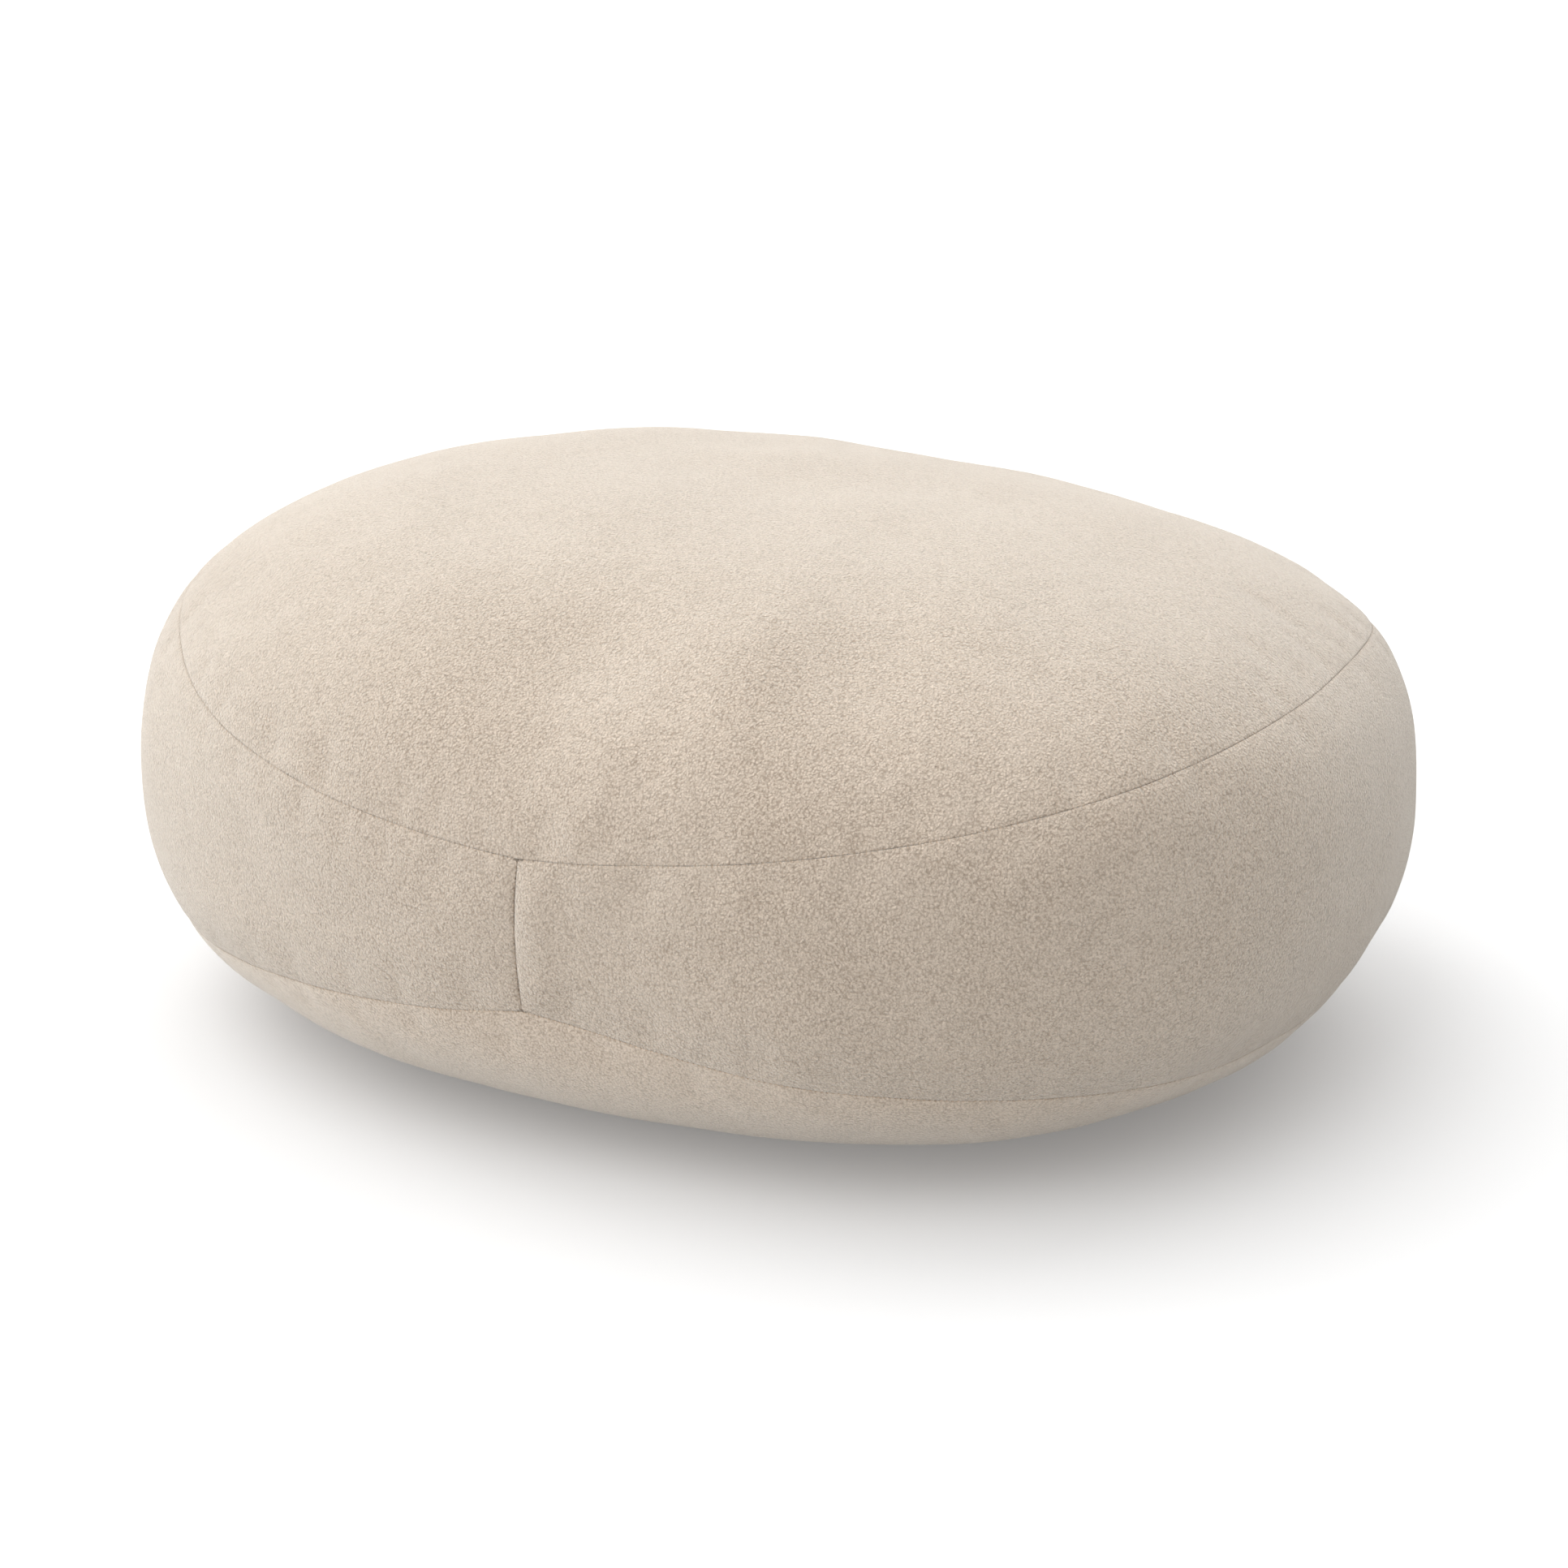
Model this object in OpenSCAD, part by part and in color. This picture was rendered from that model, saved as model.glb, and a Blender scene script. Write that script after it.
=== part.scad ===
// Plump oval floor cushion: a sewn cover with a zip, an inner liner and its filling.
// The origin is the middle of the flat contact patch. X runs along the length, Z is up,
// and the front, with the seam that joins the two side bands, faces -Y.
// Units are millimetres.

/* [Cushion] */
// Length from end to end
length = 800; // [600:10:1000]
// Width from front to back
width = 640; // [480:10:800]
// Height when filled
height = 340; // [240:5:420]
// Height of the widest level above the floor
widest_height = 150; // [110:2:190]
// Share of the length and width that lies flat on the floor
contact_share = 0.48; // [0.3:0.01:0.7]
// Squareness of the plan, where 2 is an ellipse
plan_power = 2.4; // [2:0.05:3]
// Squareness of the profile above the widest level
top_power = 2.7; // [2:0.05:3.2]
// Squareness of the profile below the widest level
base_power = 2.4; // [2:0.05:3.2]

/* [Seams] */
// Rise of the top seam above the widest level, in degrees of profile
top_seam_rise = 22; // [15:0.5:30]
// How far the top seam climbs towards the ends and dips at front and back
top_seam_swing = 7; // [0:0.5:12]
// How far the front and back seams pull the top seam down
top_seam_pinch = 4; // [0:0.5:8]
// Rise of the lower seam, below the widest level
lower_seam_rise = -30; // [-45:0.5:-20]
// How far the lower seam drops towards the ends
lower_seam_swing = 4; // [0:0.5:8]
// How far the front seam pulls the lower seam up
lower_seam_pinch = 13; // [0:0.5:16]
// Reach of a pinch round the cushion, in degrees of turn
pinch_reach = 20; // [10:1:30]
// Depth of the ditch along a seam
seam_depth = 2; // [1:0.1:2.5]
// Width of the rolled edge beside a seam
seam_roll_width = 7; // [4:0.5:12]
// Gap that the stitches leave between two panels
seam_gap = 0.3; // [0.2:0.05:0.6]
// Diameter of the sewing thread
thread_diameter = 0.8; // [0.4:0.1:1]

/* [Fabric] */
// Thickness of the fleece cover
cover_thickness = 3; // [2.75:0.25:5]
// Thickness of the liner cloth
liner_thickness = 1; // [0.6:0.1:2]
// Space between one layer and the next
layer_gap = 0.5; // [0.3:0.1:1]

/* [Zip] */
// Length of the zip along the lower back seam
zip_length = 300; // [200:10:360]
// Width of the opening between the panels that shows the zip
zip_opening = 10; // [9:0.5:12]
// How far the straight zip draws the middle of the back seam in
zip_draw = 7; // [0:0.5:10]
// Reach of the zip's pull on the skin around it
zip_fade = 90; // [40:5:100]
// Distance from one tooth to the next
tooth_pitch = 2.5; // [2:0.1:4]
// Width of each zip tape
tape_width = 14; // [10:0.5:18]
// Length of the slider body
slider_length = 12; // [10:0.5:14]
// Length of the pull leaf from its hinge bar
pull_length = 28; // [18:1:34]

/* [Label] */
// Width of the blank care label
label_width = 36; // [20:1:50]
// Length that the label hangs below its seam
label_length = 30; // [15:1:45]

/* [Hidden] */
$fn = 48;

half_length = length / 2;
half_width = width / 2;

liner_depth = cover_thickness + layer_gap;
filling_depth = liner_depth + liner_thickness + layer_gap;

// The zip lies straight across the back, facing +Y and a little down
back_turn = 90;
front_turn = -90;
zip_seat = free_skin(back_turn, free_lower_seam(back_turn), 0) - [0, zip_draw, 0];
zip_climb = free_skin(back_turn, free_lower_seam(back_turn) + 1, 0)
    - free_skin(back_turn, free_lower_seam(back_turn) - 1, 0);
zip_lean = atan2(zip_climb.y, zip_climb.z);
zip_normal = [0, cos(zip_lean), -sin(zip_lean)];
zip_end_taper = 13;

// Levels in the zip's own frame, measured out from the skin
tape_thickness = 0.6;
tape_depth = cover_thickness + layer_gap;
tape_face = -tape_depth * depth_stretch();
tape_back = -(tape_depth + tape_thickness) * depth_stretch();
tape_gap = 2;
seating_gap = 0.25;
running_gap = 0.35;
tooth_thickness = 2.4;
tooth_floor = tape_face + seating_gap;
tooth_top = tooth_floor + tooth_thickness;
tooth_channel = 1.2;
tooth_reach = 3;
tooth_spine = 1.1;
tooth_share = 0.45;
first_tooth = 0.3;
stop_length = 3;
stop_rise = 0.5;
stop_gap = 0.5;

plate_thickness = 1.2;
plate_width = 8.4;
plate_nose_width = 6.4;
flange_thickness = 0.9;
plate_floor = tooth_top + running_gap;
plate_top = plate_floor + plate_thickness;
flange_setback = 2;
flange_length = slider_length - 5;
post_width = 0.6;
post_length = 3.5;
bite = 0.2;
bar_radius = 0.9;
bar_clearance = 0.1;
bar_seat = 0.5;
eye_radius = 2;
eye_length = 5;
cheek_thickness = 1.2;
cheek_width = 2.8;
bar_height = plate_top + eye_radius + running_gap;
leaf_waist = 4.4;
leaf_thickness = 1.4;
leaf_tip_width = 8;
leaf_tip_share = 0.4;
leaf_eyelet_radius = 1.4;
leaf_eyelet_inset = 5;

slider_start = -zip_length / 2 + stop_length + 2 * stop_gap + slider_length / 2;

liner_relief = 3;
label_thickness = 0.8;
label_offset = 40;

// The thread lies in the ditch, just clear of the rolled edges of the panels
thread_depth = seam_depth - thread_diameter / 2 - 0.2;
thread_sides = 6;
thread_steps = 8;
thread_margin = 0.04;

fleece = [0.90, 0.87, 0.83];
thread_colour = [0.62, 0.57, 0.51];
tape_colour = [0.86, 0.83, 0.78];
tooth_colour = [0.80, 0.77, 0.71];
metal = [0.70, 0.70, 0.72];
label_colour = [0.96, 0.96, 0.94];
liner_colour = [0.94, 0.94, 0.92];
filling_colour = [0.82, 0.85, 0.80];

// ---- Seam paths ----------------------------------------------------------

// Angle between two turns, 0 to 180
function turn_between(a, b) = abs((a - b + 540) % 360 - 180);

// 1 where a pinching seam meets a seam, fading away on both sides
function pinch(turn, at) = exp(-turn_between(turn, at) / pinch_reach);

function top_seam(turn) =
    top_seam_rise + top_seam_swing * cos(2 * turn)
    - top_seam_pinch * (pinch(turn, front_turn) + pinch(turn, back_turn));

function free_lower_seam(turn) =
    lower_seam_rise - lower_seam_swing * cos(2 * turn)
    + lower_seam_pinch * pinch(turn, front_turn);

// ---- Skin of the cushion -------------------------------------------------

function signed_power(value, power) = sign(value) * pow(abs(value), power);

// How far the skin stands out at a rise, as a share of its widest
function spread(rise) =
    rise >= 0
        ? pow(cos(rise), 2 / top_power)
        : contact_share + (1 - contact_share) * pow(cos(rise), 2 / base_power);

// Height of the skin at a rise, on a layer that lies depth inside the outer face
function level(rise, depth) =
    rise >= 0
        ? widest_height + (height - widest_height - depth) * pow(sin(rise), 2 / top_power)
        : widest_height - (widest_height - depth) * pow(sin(-rise), 2 / base_power);

// A point of the skin before the zip draws it straight
function free_skin(turn, rise, depth) = [
    (half_length - depth) * signed_power(cos(turn), 2 / plan_power) * spread(rise),
    (half_width - depth) * signed_power(sin(turn), 2 / plan_power) * spread(rise),
    level(rise, depth)
];

// How much farther the skin moves at the zip, square to itself, than its depth says
function depth_stretch() =
    (free_skin(back_turn, free_lower_seam(back_turn), 0)
    - free_skin(back_turn, free_lower_seam(back_turn), 1)) * zip_normal;

// Falls smoothly from 1 at nothing to 0 at one
function fade(share) =
    share <= 0 ? 1 : share >= 1 ? 0 : 1 - share * share * (3 - 2 * share);

// The turn on the zip that is nearest to another turn
function zip_turn_near(turn) =
    min(max(turn, turn_at(tuck_half)), 2 * back_turn - turn_at(tuck_half));

// How firmly the zip holds a point of the skin, 1 on the zip and 0 away from it
function zip_hold(turn, rise) =
    sin(turn) <= 0 ? 0 :
    let (
        here = free_skin(turn, rise, 0),
        seam = free_skin(turn, free_lower_seam(turn), 0),
        zip_end = free_lower_point(zip_turn_near(turn))
    )
    fade(norm(seam - zip_end) / zip_fade) * fade(norm(here - seam) / zip_fade);

function free_lower_point(turn) = free_skin(turn, free_lower_seam(turn), 0);

// How far the zip, or the end of it that is nearest, moves the skin to be straight
function zip_pull_on(turn) =
    let (seam = free_lower_point(zip_turn_near(turn)))
    [0, zip_seat.y - seam.y, zip_seat.z - seam.z];

// A point of the skin, where the zip holds its stretch of the seam straight
function skin(turn, rise, depth) =
    free_skin(turn, rise, depth) + zip_hold(turn, rise) * zip_pull_on(turn);

// A point of an inner layer, which gives way behind the zip slider
function inner_skin(turn, rise, depth) =
    skin(turn, rise, depth + liner_relief * zip_hold(turn, rise));

// Length of skin that one degree of rise covers
function degree_length(turn, rise) =
    norm(free_skin(turn, rise + 0.5, 0) - free_skin(turn, rise - 0.5, 0));

// The rise that lies a distance up the skin from another
function rise_above(turn, rise, distance) = rise + distance / degree_length(turn, rise);

// ---- Panel edges ---------------------------------------------------------

// Half of the gap between the two panels of the lower seam: it opens at the zip
function lower_half_gap(turn) = (is_open_turn(turn) ? zip_opening : seam_gap) / 2;

function top_edge(turn, side) = rise_above(turn, top_seam(turn), side * seam_gap / 2);

function lower_edge(turn, side) =
    rise_above(turn, free_lower_seam(turn), side * lower_half_gap(turn));

// Extra depth of the rolled outer face, at a distance from the panel's edge
function roll(distance) = seam_depth * pow(max(0, 1 - distance / seam_roll_width), 3);

// ---- Stations round the cushion ------------------------------------------

// The turn at which the lower seam stands x from the middle of the back
function turn_at(x) =
    acos(pow(x / (half_length * spread(free_lower_seam(back_turn))), plan_power / 2));

opening_half = zip_length / 2 + 2;
tuck_half = opening_half + zip_end_taper;
corner_step = 7.5;
corner_turns = [for (t = [0 : corner_step : turn_at(tuck_half) - corner_step / 2]) t];
opening_turns = [for (share = [1, 0.76, 0.5, 0.26]) turn_at(share * opening_half)];
middle_turns = concat([turn_at(tuck_half)], opening_turns);
seam_turns = [for (x = [14, seam_roll_width, 2.5]) turn_at(x)];
inner_quarter = concat(corner_turns, middle_turns);
quarter = concat(inner_quarter, seam_turns);

function reversed(list) = [for (i = [len(list) - 1 : -1 : 0]) list[i]];

// A half turn, front to back round the +X end, from the turns of one quarter
function half_turn(turns) =
    concat([for (t = reversed(turns)) -t], [for (i = [1 : len(turns) - 1]) turns[i]]);

// A full turn from the middle of the front, made from the turns of one quarter
function full_turn(turns) =
    let (half = concat([front_turn], half_turn(turns)))
    concat(half, [for (t = half) t + 180]);

right_turns = half_turn(concat(quarter, [turn_at(seam_gap / 2)]));
left_turns = [for (t = right_turns) t + 180];
ring_turns = full_turn(quarter);
inner_turns = full_turn(inner_quarter);
zip_turns = [for (t = ring_turns) if (is_near_back(t, tuck_half)) t];
lower_thread_turns = let (quiet = [for (t = ring_turns) if (!is_open_turn(t)) t])
    concat([for (t = quiet) if (t > back_turn) t], [for (t = quiet) if (t < back_turn) t]);

// Is a turn within a distance of the middle of the back, along the lower seam?
function is_near_back(turn, x) = sin(turn) > sin(turn_at(x)) - 0.0001;
function is_open_turn(turn) = is_near_back(turn, opening_half);

// Shares of the way up each panel at which its rows lie
top_shares = [0, 0.014, 0.04, 0.15, 0.3, 0.45, 0.6, 0.75, 0.9];
band_shares = [0, 0.015, 0.05, 0.2, 0.35, 0.5, 0.65, 0.8, 0.95, 0.985, 1];
base_shares = [0, 0.2, 0.4, 0.6, 0.8, 0.95, 0.985, 1];

// The inner layers take some of the cover's rows and turns, so that no corner of
// theirs can reach out through a flat face of the layer outside it
inner_top_shares = [0, 0.3, 0.6, 0.9];
inner_band_shares = [0, 0.2, 0.5, 0.8, 1];
inner_base_shares = [0, 0.4, 0.8, 1];

// ---- Closed solids from grids of points ----------------------------------

// Triangles between neighbouring rows of a grid, whose points start at number first
function net(rows, columns, first, wrap_rows, wrap_columns, flip) = [
    for (r = [0 : rows - (wrap_rows ? 1 : 2)])
        for (c = [0 : columns - (wrap_columns ? 1 : 2)])
            let (
                a = first + r * columns + c,
                b = first + r * columns + (c + 1) % columns,
                d = first + ((r + 1) % rows) * columns + c,
                e = first + ((r + 1) % rows) * columns + (c + 1) % columns
            )
            for (t = flip ? [[a, b, d], [b, e, d]] : [[a, d, b], [b, d, e]]) t
];

function flat(grid) = [for (row = grid) for (p = row) p];

// Cloth between an outer and an inner grid, open at its first and last rows
module open_cloth(outer, inner, ring) {
    rows = len(outer);
    columns = len(outer[0]);
    size = rows * columns;
    top = (rows - 1) * columns;
    steps = columns - (ring ? 1 : 2);
    rims = [
        for (c = [0 : steps])
            let (n = (c + 1) % columns, i = size)
            for (t = [
                [top + n, top + c, i + top + c],
                [top + n, i + top + c, i + top + n],
                [c, n, i + n],
                [c, i + n, i + c]
            ]) t
    ];
    sides = ring ? [] : [
        for (r = [0 : rows - 2])
            let (l = r * columns, u = l + columns, m = l + columns - 1, v = u + columns - 1)
            for (t = [
                [u, l, size + l],
                [u, size + l, size + u],
                [m, v, size + v],
                [m, size + v, size + m]
            ]) t
    ];
    polyhedron(
        points = concat(flat(outer), flat(inner)),
        faces = concat(
            net(rows, columns, 0, false, ring, false),
            net(rows, columns, size, false, ring, true),
            rims,
            sides
        ),
        convexity = 6
    );
}

// Cloth between two ring grids that meet in a middle point past one end:
// past the last row when crowned, and past the first row when not
module capped_cloth(outer, inner, outer_middle, inner_middle, crowned) {
    rows = len(outer);
    columns = len(outer[0]);
    size = rows * columns;
    top = (rows - 1) * columns;
    lid = crowned ? top : 0;
    rim = crowned ? 0 : top;
    outer_lid = 2 * size;
    inner_lid = outer_lid + 1;
    ends = [
        for (c = [0 : columns - 1])
            let (n = (c + 1) % columns, a = crowned ? c : n, b = crowned ? n : c)
            for (t = [
                [lid + b, lid + a, outer_lid],
                [size + lid + a, size + lid + b, inner_lid],
                [rim + a, rim + b, size + rim + b],
                [rim + a, size + rim + b, size + rim + a]
            ]) t
    ];
    polyhedron(
        points = concat(flat(outer), flat(inner), [outer_middle, inner_middle]),
        faces = concat(
            net(rows, columns, 0, false, true, false),
            net(rows, columns, size, false, true, true),
            ends
        ),
        convexity = 6
    );
}

// A solid inside one ring grid, closed at both ends by middle points
module closed_bag(grid, base_middle, top_middle) {
    rows = len(grid);
    columns = len(grid[0]);
    size = rows * columns;
    top = size - columns;
    ends = [
        for (c = [0 : columns - 1])
            let (n = (c + 1) % columns)
            for (t = [[c, n, size], [top + n, top + c, size + 1]]) t
    ];
    polyhedron(
        points = concat(flat(grid), [base_middle, top_middle]),
        faces = concat(net(rows, columns, 0, false, true, false), ends),
        convexity = 4
    );
}

// A round cord through rings of points, looped or with flat ends
module cord(rings, looped) {
    rows = len(rings);
    columns = len(rings[0]);
    last = (rows - 1) * columns;
    ends = looped ? [] : [
        [for (c = [0 : columns - 1]) c],
        [for (c = [columns - 1 : -1 : 0]) last + c]
    ];
    polyhedron(
        points = flat(rings),
        faces = concat(net(rows, columns, 0, looped, true, false), ends),
        convexity = 6
    );
}

// ---- Cover panels --------------------------------------------------------

// Grid of points from one rise to another at each turn, on rows at the given shares.
// The first and last rows roll in towards their seams where they are told to
function panel_grid(turns, from, to, shares, depth, rolled_from, rolled_to) = [
    for (s = shares) [
        for (i = [0 : len(turns) - 1])
            let (
                turn = turns[i],
                rise = from[i] + s * (to[i] - from[i]),
                here = skin(turn, rise, 0),
                start = rolled_from ? roll(norm(here - skin(turn, from[i], 0))) : 0,
                end = rolled_to ? roll(norm(here - skin(turn, to[i], 0))) : 0
            )
            skin(turn, rise, depth + max(start, end))
    ]
];

module top_panel() {
    edge = [for (t = ring_turns) top_edge(t, 1)];
    peak = [for (t = ring_turns) 90];
    color(fleece)
        capped_cloth(
            panel_grid(ring_turns, edge, peak, top_shares, 0, true, false),
            panel_grid(ring_turns, edge, peak, top_shares, cover_thickness, false, false),
            [0, 0, height],
            [0, 0, height - cover_thickness],
            true
        );
}

module base_panel() {
    rim = [for (t = ring_turns) -90];
    edge = [for (t = ring_turns) lower_edge(t, -1)];
    color(fleece)
        capped_cloth(
            panel_grid(ring_turns, rim, edge, base_shares, 0, false, true),
            panel_grid(ring_turns, rim, edge, base_shares, cover_thickness, false, false),
            [0, 0, 0],
            [0, 0, cover_thickness],
            false
        );
}

// A side band, whose end columns also roll in towards the front and back seams
function band_grid(turns, shares) =
    let (
        from = [for (t = turns) lower_edge(t, 1)],
        to = [for (t = turns) top_edge(t, -1)]
    )
    [
        for (s = shares) [
            for (i = [0 : len(turns) - 1])
                let (
                    rise = from[i] + s * (to[i] - from[i]),
                    here = skin(turns[i], rise, 0),
                    sunk = max(
                        roll(norm(here - skin(turns[i], from[i], 0))),
                        roll(norm(here - skin(turns[i], to[i], 0))),
                        roll(abs(here.x) - seam_gap / 2)
                    )
                )
                skin(turns[i], rise, sunk)
        ]
    ];

module side_band(turns) {
    from = [for (t = turns) lower_edge(t, 1)];
    to = [for (t = turns) top_edge(t, -1)];
    color(fleece)
        open_cloth(
            band_grid(turns, band_shares),
            panel_grid(turns, from, to, band_shares, cover_thickness, false, false),
            false
        );
}

// ---- Sewing thread -------------------------------------------------------

// Ring of points round the thread where it crosses a turn and a rise
function thread_ring(turn, rise, across) = [
    for (k = [0 : thread_sides - 1])
        let (
            centre = skin(turn, rise, thread_depth),
            out = skin(turn, rise, thread_depth - 1) - centre,
            outward = out / norm(out),
            angle = 360 * k / thread_sides
        )
        centre + thread_diameter / 2 * (cos(angle) * outward + sin(angle) * across)
];

// Unit vector up the skin
function upward(turn, rise) =
    let (step = skin(turn, rise + 0.5, 0) - skin(turn, rise - 0.5, 0)) step / norm(step);

module top_seam_thread() {
    color(thread_colour)
        cord([
            for (t = reversed(ring_turns))
                thread_ring(t, top_seam(t), upward(t, top_seam(t)))
        ], true);
}

module lower_seam_thread() {
    color(thread_colour)
        cord([
            for (t = reversed(lower_thread_turns))
                thread_ring(t, free_lower_seam(t), upward(t, free_lower_seam(t)))
        ], false);
}

// Thread of the upright seam at the middle of the front or back
module upright_seam_thread(turn) {
    low = lower_edge(turn, 1);
    high = top_edge(turn, -1);
    side = sign(sin(turn));
    color(thread_colour)
        cord([
            for (k = [thread_steps : -1 : 0])
                let (share = thread_margin + (1 - 2 * thread_margin) * k / thread_steps)
                thread_ring(turn, low + share * (high - low), [side, 0, 0])
        ], false);
}

// ---- Zip -----------------------------------------------------------------

// Moves into the zip's frame: x along the zip, y down the skin, z out of it
module on_zip(x) {
    translate([x, zip_seat.y, zip_seat.z])
        rotate([-90 - zip_lean, 0, 0])
            children();
}

// Tape of one side of the zip, sewn behind its panel: side is 1 above and -1 below
module zip_tape(side) {
    near = [for (t = zip_turns) rise_above(t, free_lower_seam(t), side * tape_gap / 2)];
    far = [for (t = zip_turns) rise_above(t, free_lower_seam(t), side * tape_width)];
    from = side > 0 ? near : far;
    to = side > 0 ? far : near;
    shares = [0, 0.25, 0.5, 0.75, 1];
    color(tape_colour)
        open_cloth(
            panel_grid(zip_turns, from, to, shares, tape_depth, false, false),
            panel_grid(zip_turns, from, to, shares, tape_depth + tape_thickness, false, false),
            false
        );
}

// Comb of teeth, seen square to the tape, with its spine along the sewn side
module tooth_comb(offset) {
    tooth_width = tooth_share * tooth_pitch;
    run = zip_length - 2 * (stop_length + stop_gap);
    count = floor((run - offset - tooth_width) / tooth_pitch);
    spine = tooth_reach - tooth_spine;
    near = tooth_channel / 2;
    teeth = [
        for (i = [0 : count])
            let (x = -run / 2 + offset + i * tooth_pitch)
            for (p = [[x, spine], [x, near], [x + tooth_width, near], [x + tooth_width, spine]]) p
    ];
    polygon(concat([[-run / 2, tooth_reach]], [[-run / 2, spine]], teeth,
        [[run / 2, spine]], [[run / 2, tooth_reach]]));
}

// Row of teeth on one tape: side is 1 above and -1 below
module zip_teeth(side) {
    offset = side > 0 ? first_tooth : first_tooth + tooth_pitch / 2;
    color(tooth_colour)
        on_zip(0)
            translate([0, 0, tooth_floor])
                mirror([0, side > 0 ? 1 : 0, 0])
                    linear_extrude(tooth_thickness)
                        tooth_comb(offset);
}

// A stop crimped on the tape ends: one on each tape
module zip_top_stops() {
    color(metal)
        on_zip(-zip_length / 2)
            for (side = [-1, 1])
                translate([0, side > 0 ? tooth_channel / 2 : -tooth_reach, tooth_floor])
                    cube([stop_length, tooth_reach - tooth_channel / 2, tooth_thickness + stop_rise]);
}

// The stop that holds both tapes together at the far end
module zip_bottom_stop() {
    color(metal)
        on_zip(zip_length / 2 - stop_length)
            translate([0, -tooth_reach, tooth_floor])
                cube([stop_length, 2 * tooth_reach, tooth_thickness + stop_rise]);
}

// Outline of a slider plate, narrow at its nose
module plate_outline() {
    half = slider_length / 2;
    chamfer = 1.5;
    wide = plate_width / 2;
    nose = plate_nose_width / 2;
    polygon([
        [-half, wide - chamfer], [-half + chamfer, wide], [half - chamfer * 2, wide],
        [half, nose], [half, -nose], [half - chamfer * 2, -wide],
        [-half + chamfer, -wide], [-half, -wide + chamfer]
    ]);
}

// One cheek that carries the pull's hinge bar
module cheek() {
    rotate([0, 90, 0])
        linear_extrude(cheek_thickness)
            union() {
                translate([-bar_height, 0])
                    circle(cheek_width / 2);
                translate([-bar_height, -cheek_width / 2])
                    square([bar_height - plate_top + bite, cheek_width]);
            }
}

module zip_slider() {
    cheek_gap = eye_length + 2 * running_gap;
    flange_y = plate_width / 2 - flange_thickness;
    flange_depth = plate_floor - tape_face - running_gap;
    back_plate = tape_back - running_gap - plate_thickness;
    color(metal)
        on_zip(slider_start)
            union() {
                translate([0, 0, plate_floor])
                    linear_extrude(plate_thickness)
                        plate_outline();
                translate([0, 0, back_plate])
                    linear_extrude(plate_thickness)
                        plate_outline();
                // post between the plates, in the channel between the rows of teeth
                translate([-slider_length / 2, -post_width / 2, back_plate + plate_thickness / 2])
                    cube([post_length, post_width, plate_floor - back_plate]);
                for (side = [-1, 1])
                    translate([
                        -slider_length / 2 + flange_setback,
                        side > 0 ? flange_y : -flange_y - flange_thickness,
                        plate_floor - flange_depth
                    ])
                        cube([flange_length, flange_thickness, flange_depth + bite]);
                for (x = [-cheek_gap / 2 - cheek_thickness, cheek_gap / 2])
                    translate([x, 0, 0])
                        cheek();
                translate([-cheek_gap / 2 - bar_seat, 0, bar_height])
                    rotate([0, 90, 0])
                        cylinder(r = bar_radius, h = cheek_gap + 2 * bar_seat);
            }
}

// Leaf that turns on the slider's bar, hanging straight down at rest
module zip_pull() {
    bar = [slider_start, zip_seat.y, zip_seat.z] + bar_height * zip_normal;
    color(metal)
        translate(bar)
            difference() {
                union() {
                    translate([-eye_length / 2, 0, 0])
                        rotate([0, 90, 0])
                            cylinder(r = eye_radius, h = eye_length);
                    rotate([90, 0, 0])
                        translate([0, 0, -leaf_thickness / 2])
                            linear_extrude(leaf_thickness)
                                leaf_outline();
                }
                translate([-eye_length, 0, 0])
                    rotate([0, 90, 0])
                        cylinder(r = bar_radius + bar_clearance, h = 2 * eye_length);
            }
}

// Outline of the leaf, widening to a chamfered tip with a small eyelet
module leaf_outline() {
    top = eye_length / 2;
    tip = leaf_tip_width / 2;
    waist = leaf_waist / 2;
    widening = pull_length * (1 - leaf_tip_share);
    chamfer = 1.6;
    difference() {
        polygon([
            [-top, 0], [-waist, -eye_radius * 2], [-tip, -widening],
            [-tip, -pull_length + chamfer], [-tip + chamfer, -pull_length],
            [tip - chamfer, -pull_length], [tip, -pull_length + chamfer],
            [tip, -widening], [waist, -eye_radius * 2], [top, 0]
        ]);
        translate([0, -pull_length + leaf_eyelet_inset])
            circle(leaf_eyelet_radius);
    }
}

// ---- Care label ----------------------------------------------------------

// Blank folded label that hangs from the lower seam beside the zip
module care_label() {
    start = turn_at(tuck_half + label_offset);
    finish = turn_at(tuck_half + label_offset - label_width);
    turns = [for (i = [0 : 3]) start + (finish - start) * i / 3];
    drops = [0.2, 2.5, 8, 0.5 * label_length, label_length];
    lifts = [-1, 0.3, 0.8, 1, 1.2];
    function face(extra) = [
        for (k = [len(drops) - 1 : -1 : 0]) [
            for (t = turns)
                skin(t, rise_above(t, free_lower_seam(t), -drops[k]), -lifts[k] - extra)
        ]
    ];
    color(label_colour)
        open_cloth(face(label_thickness), face(0), false);
}

// ---- Liner and filling ---------------------------------------------------

// Grid of an inner layer, which keeps off the back of the zip
function inner_grid(turns, from, to, shares, depth) = [
    for (s = shares) [
        for (i = [0 : len(turns) - 1])
            inner_skin(turns[i], from[i] + s * (to[i] - from[i]), depth)
    ]
];

function liner_rise(turn, seam, side) = rise_above(turn, seam, side * seam_gap / 2);

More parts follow.
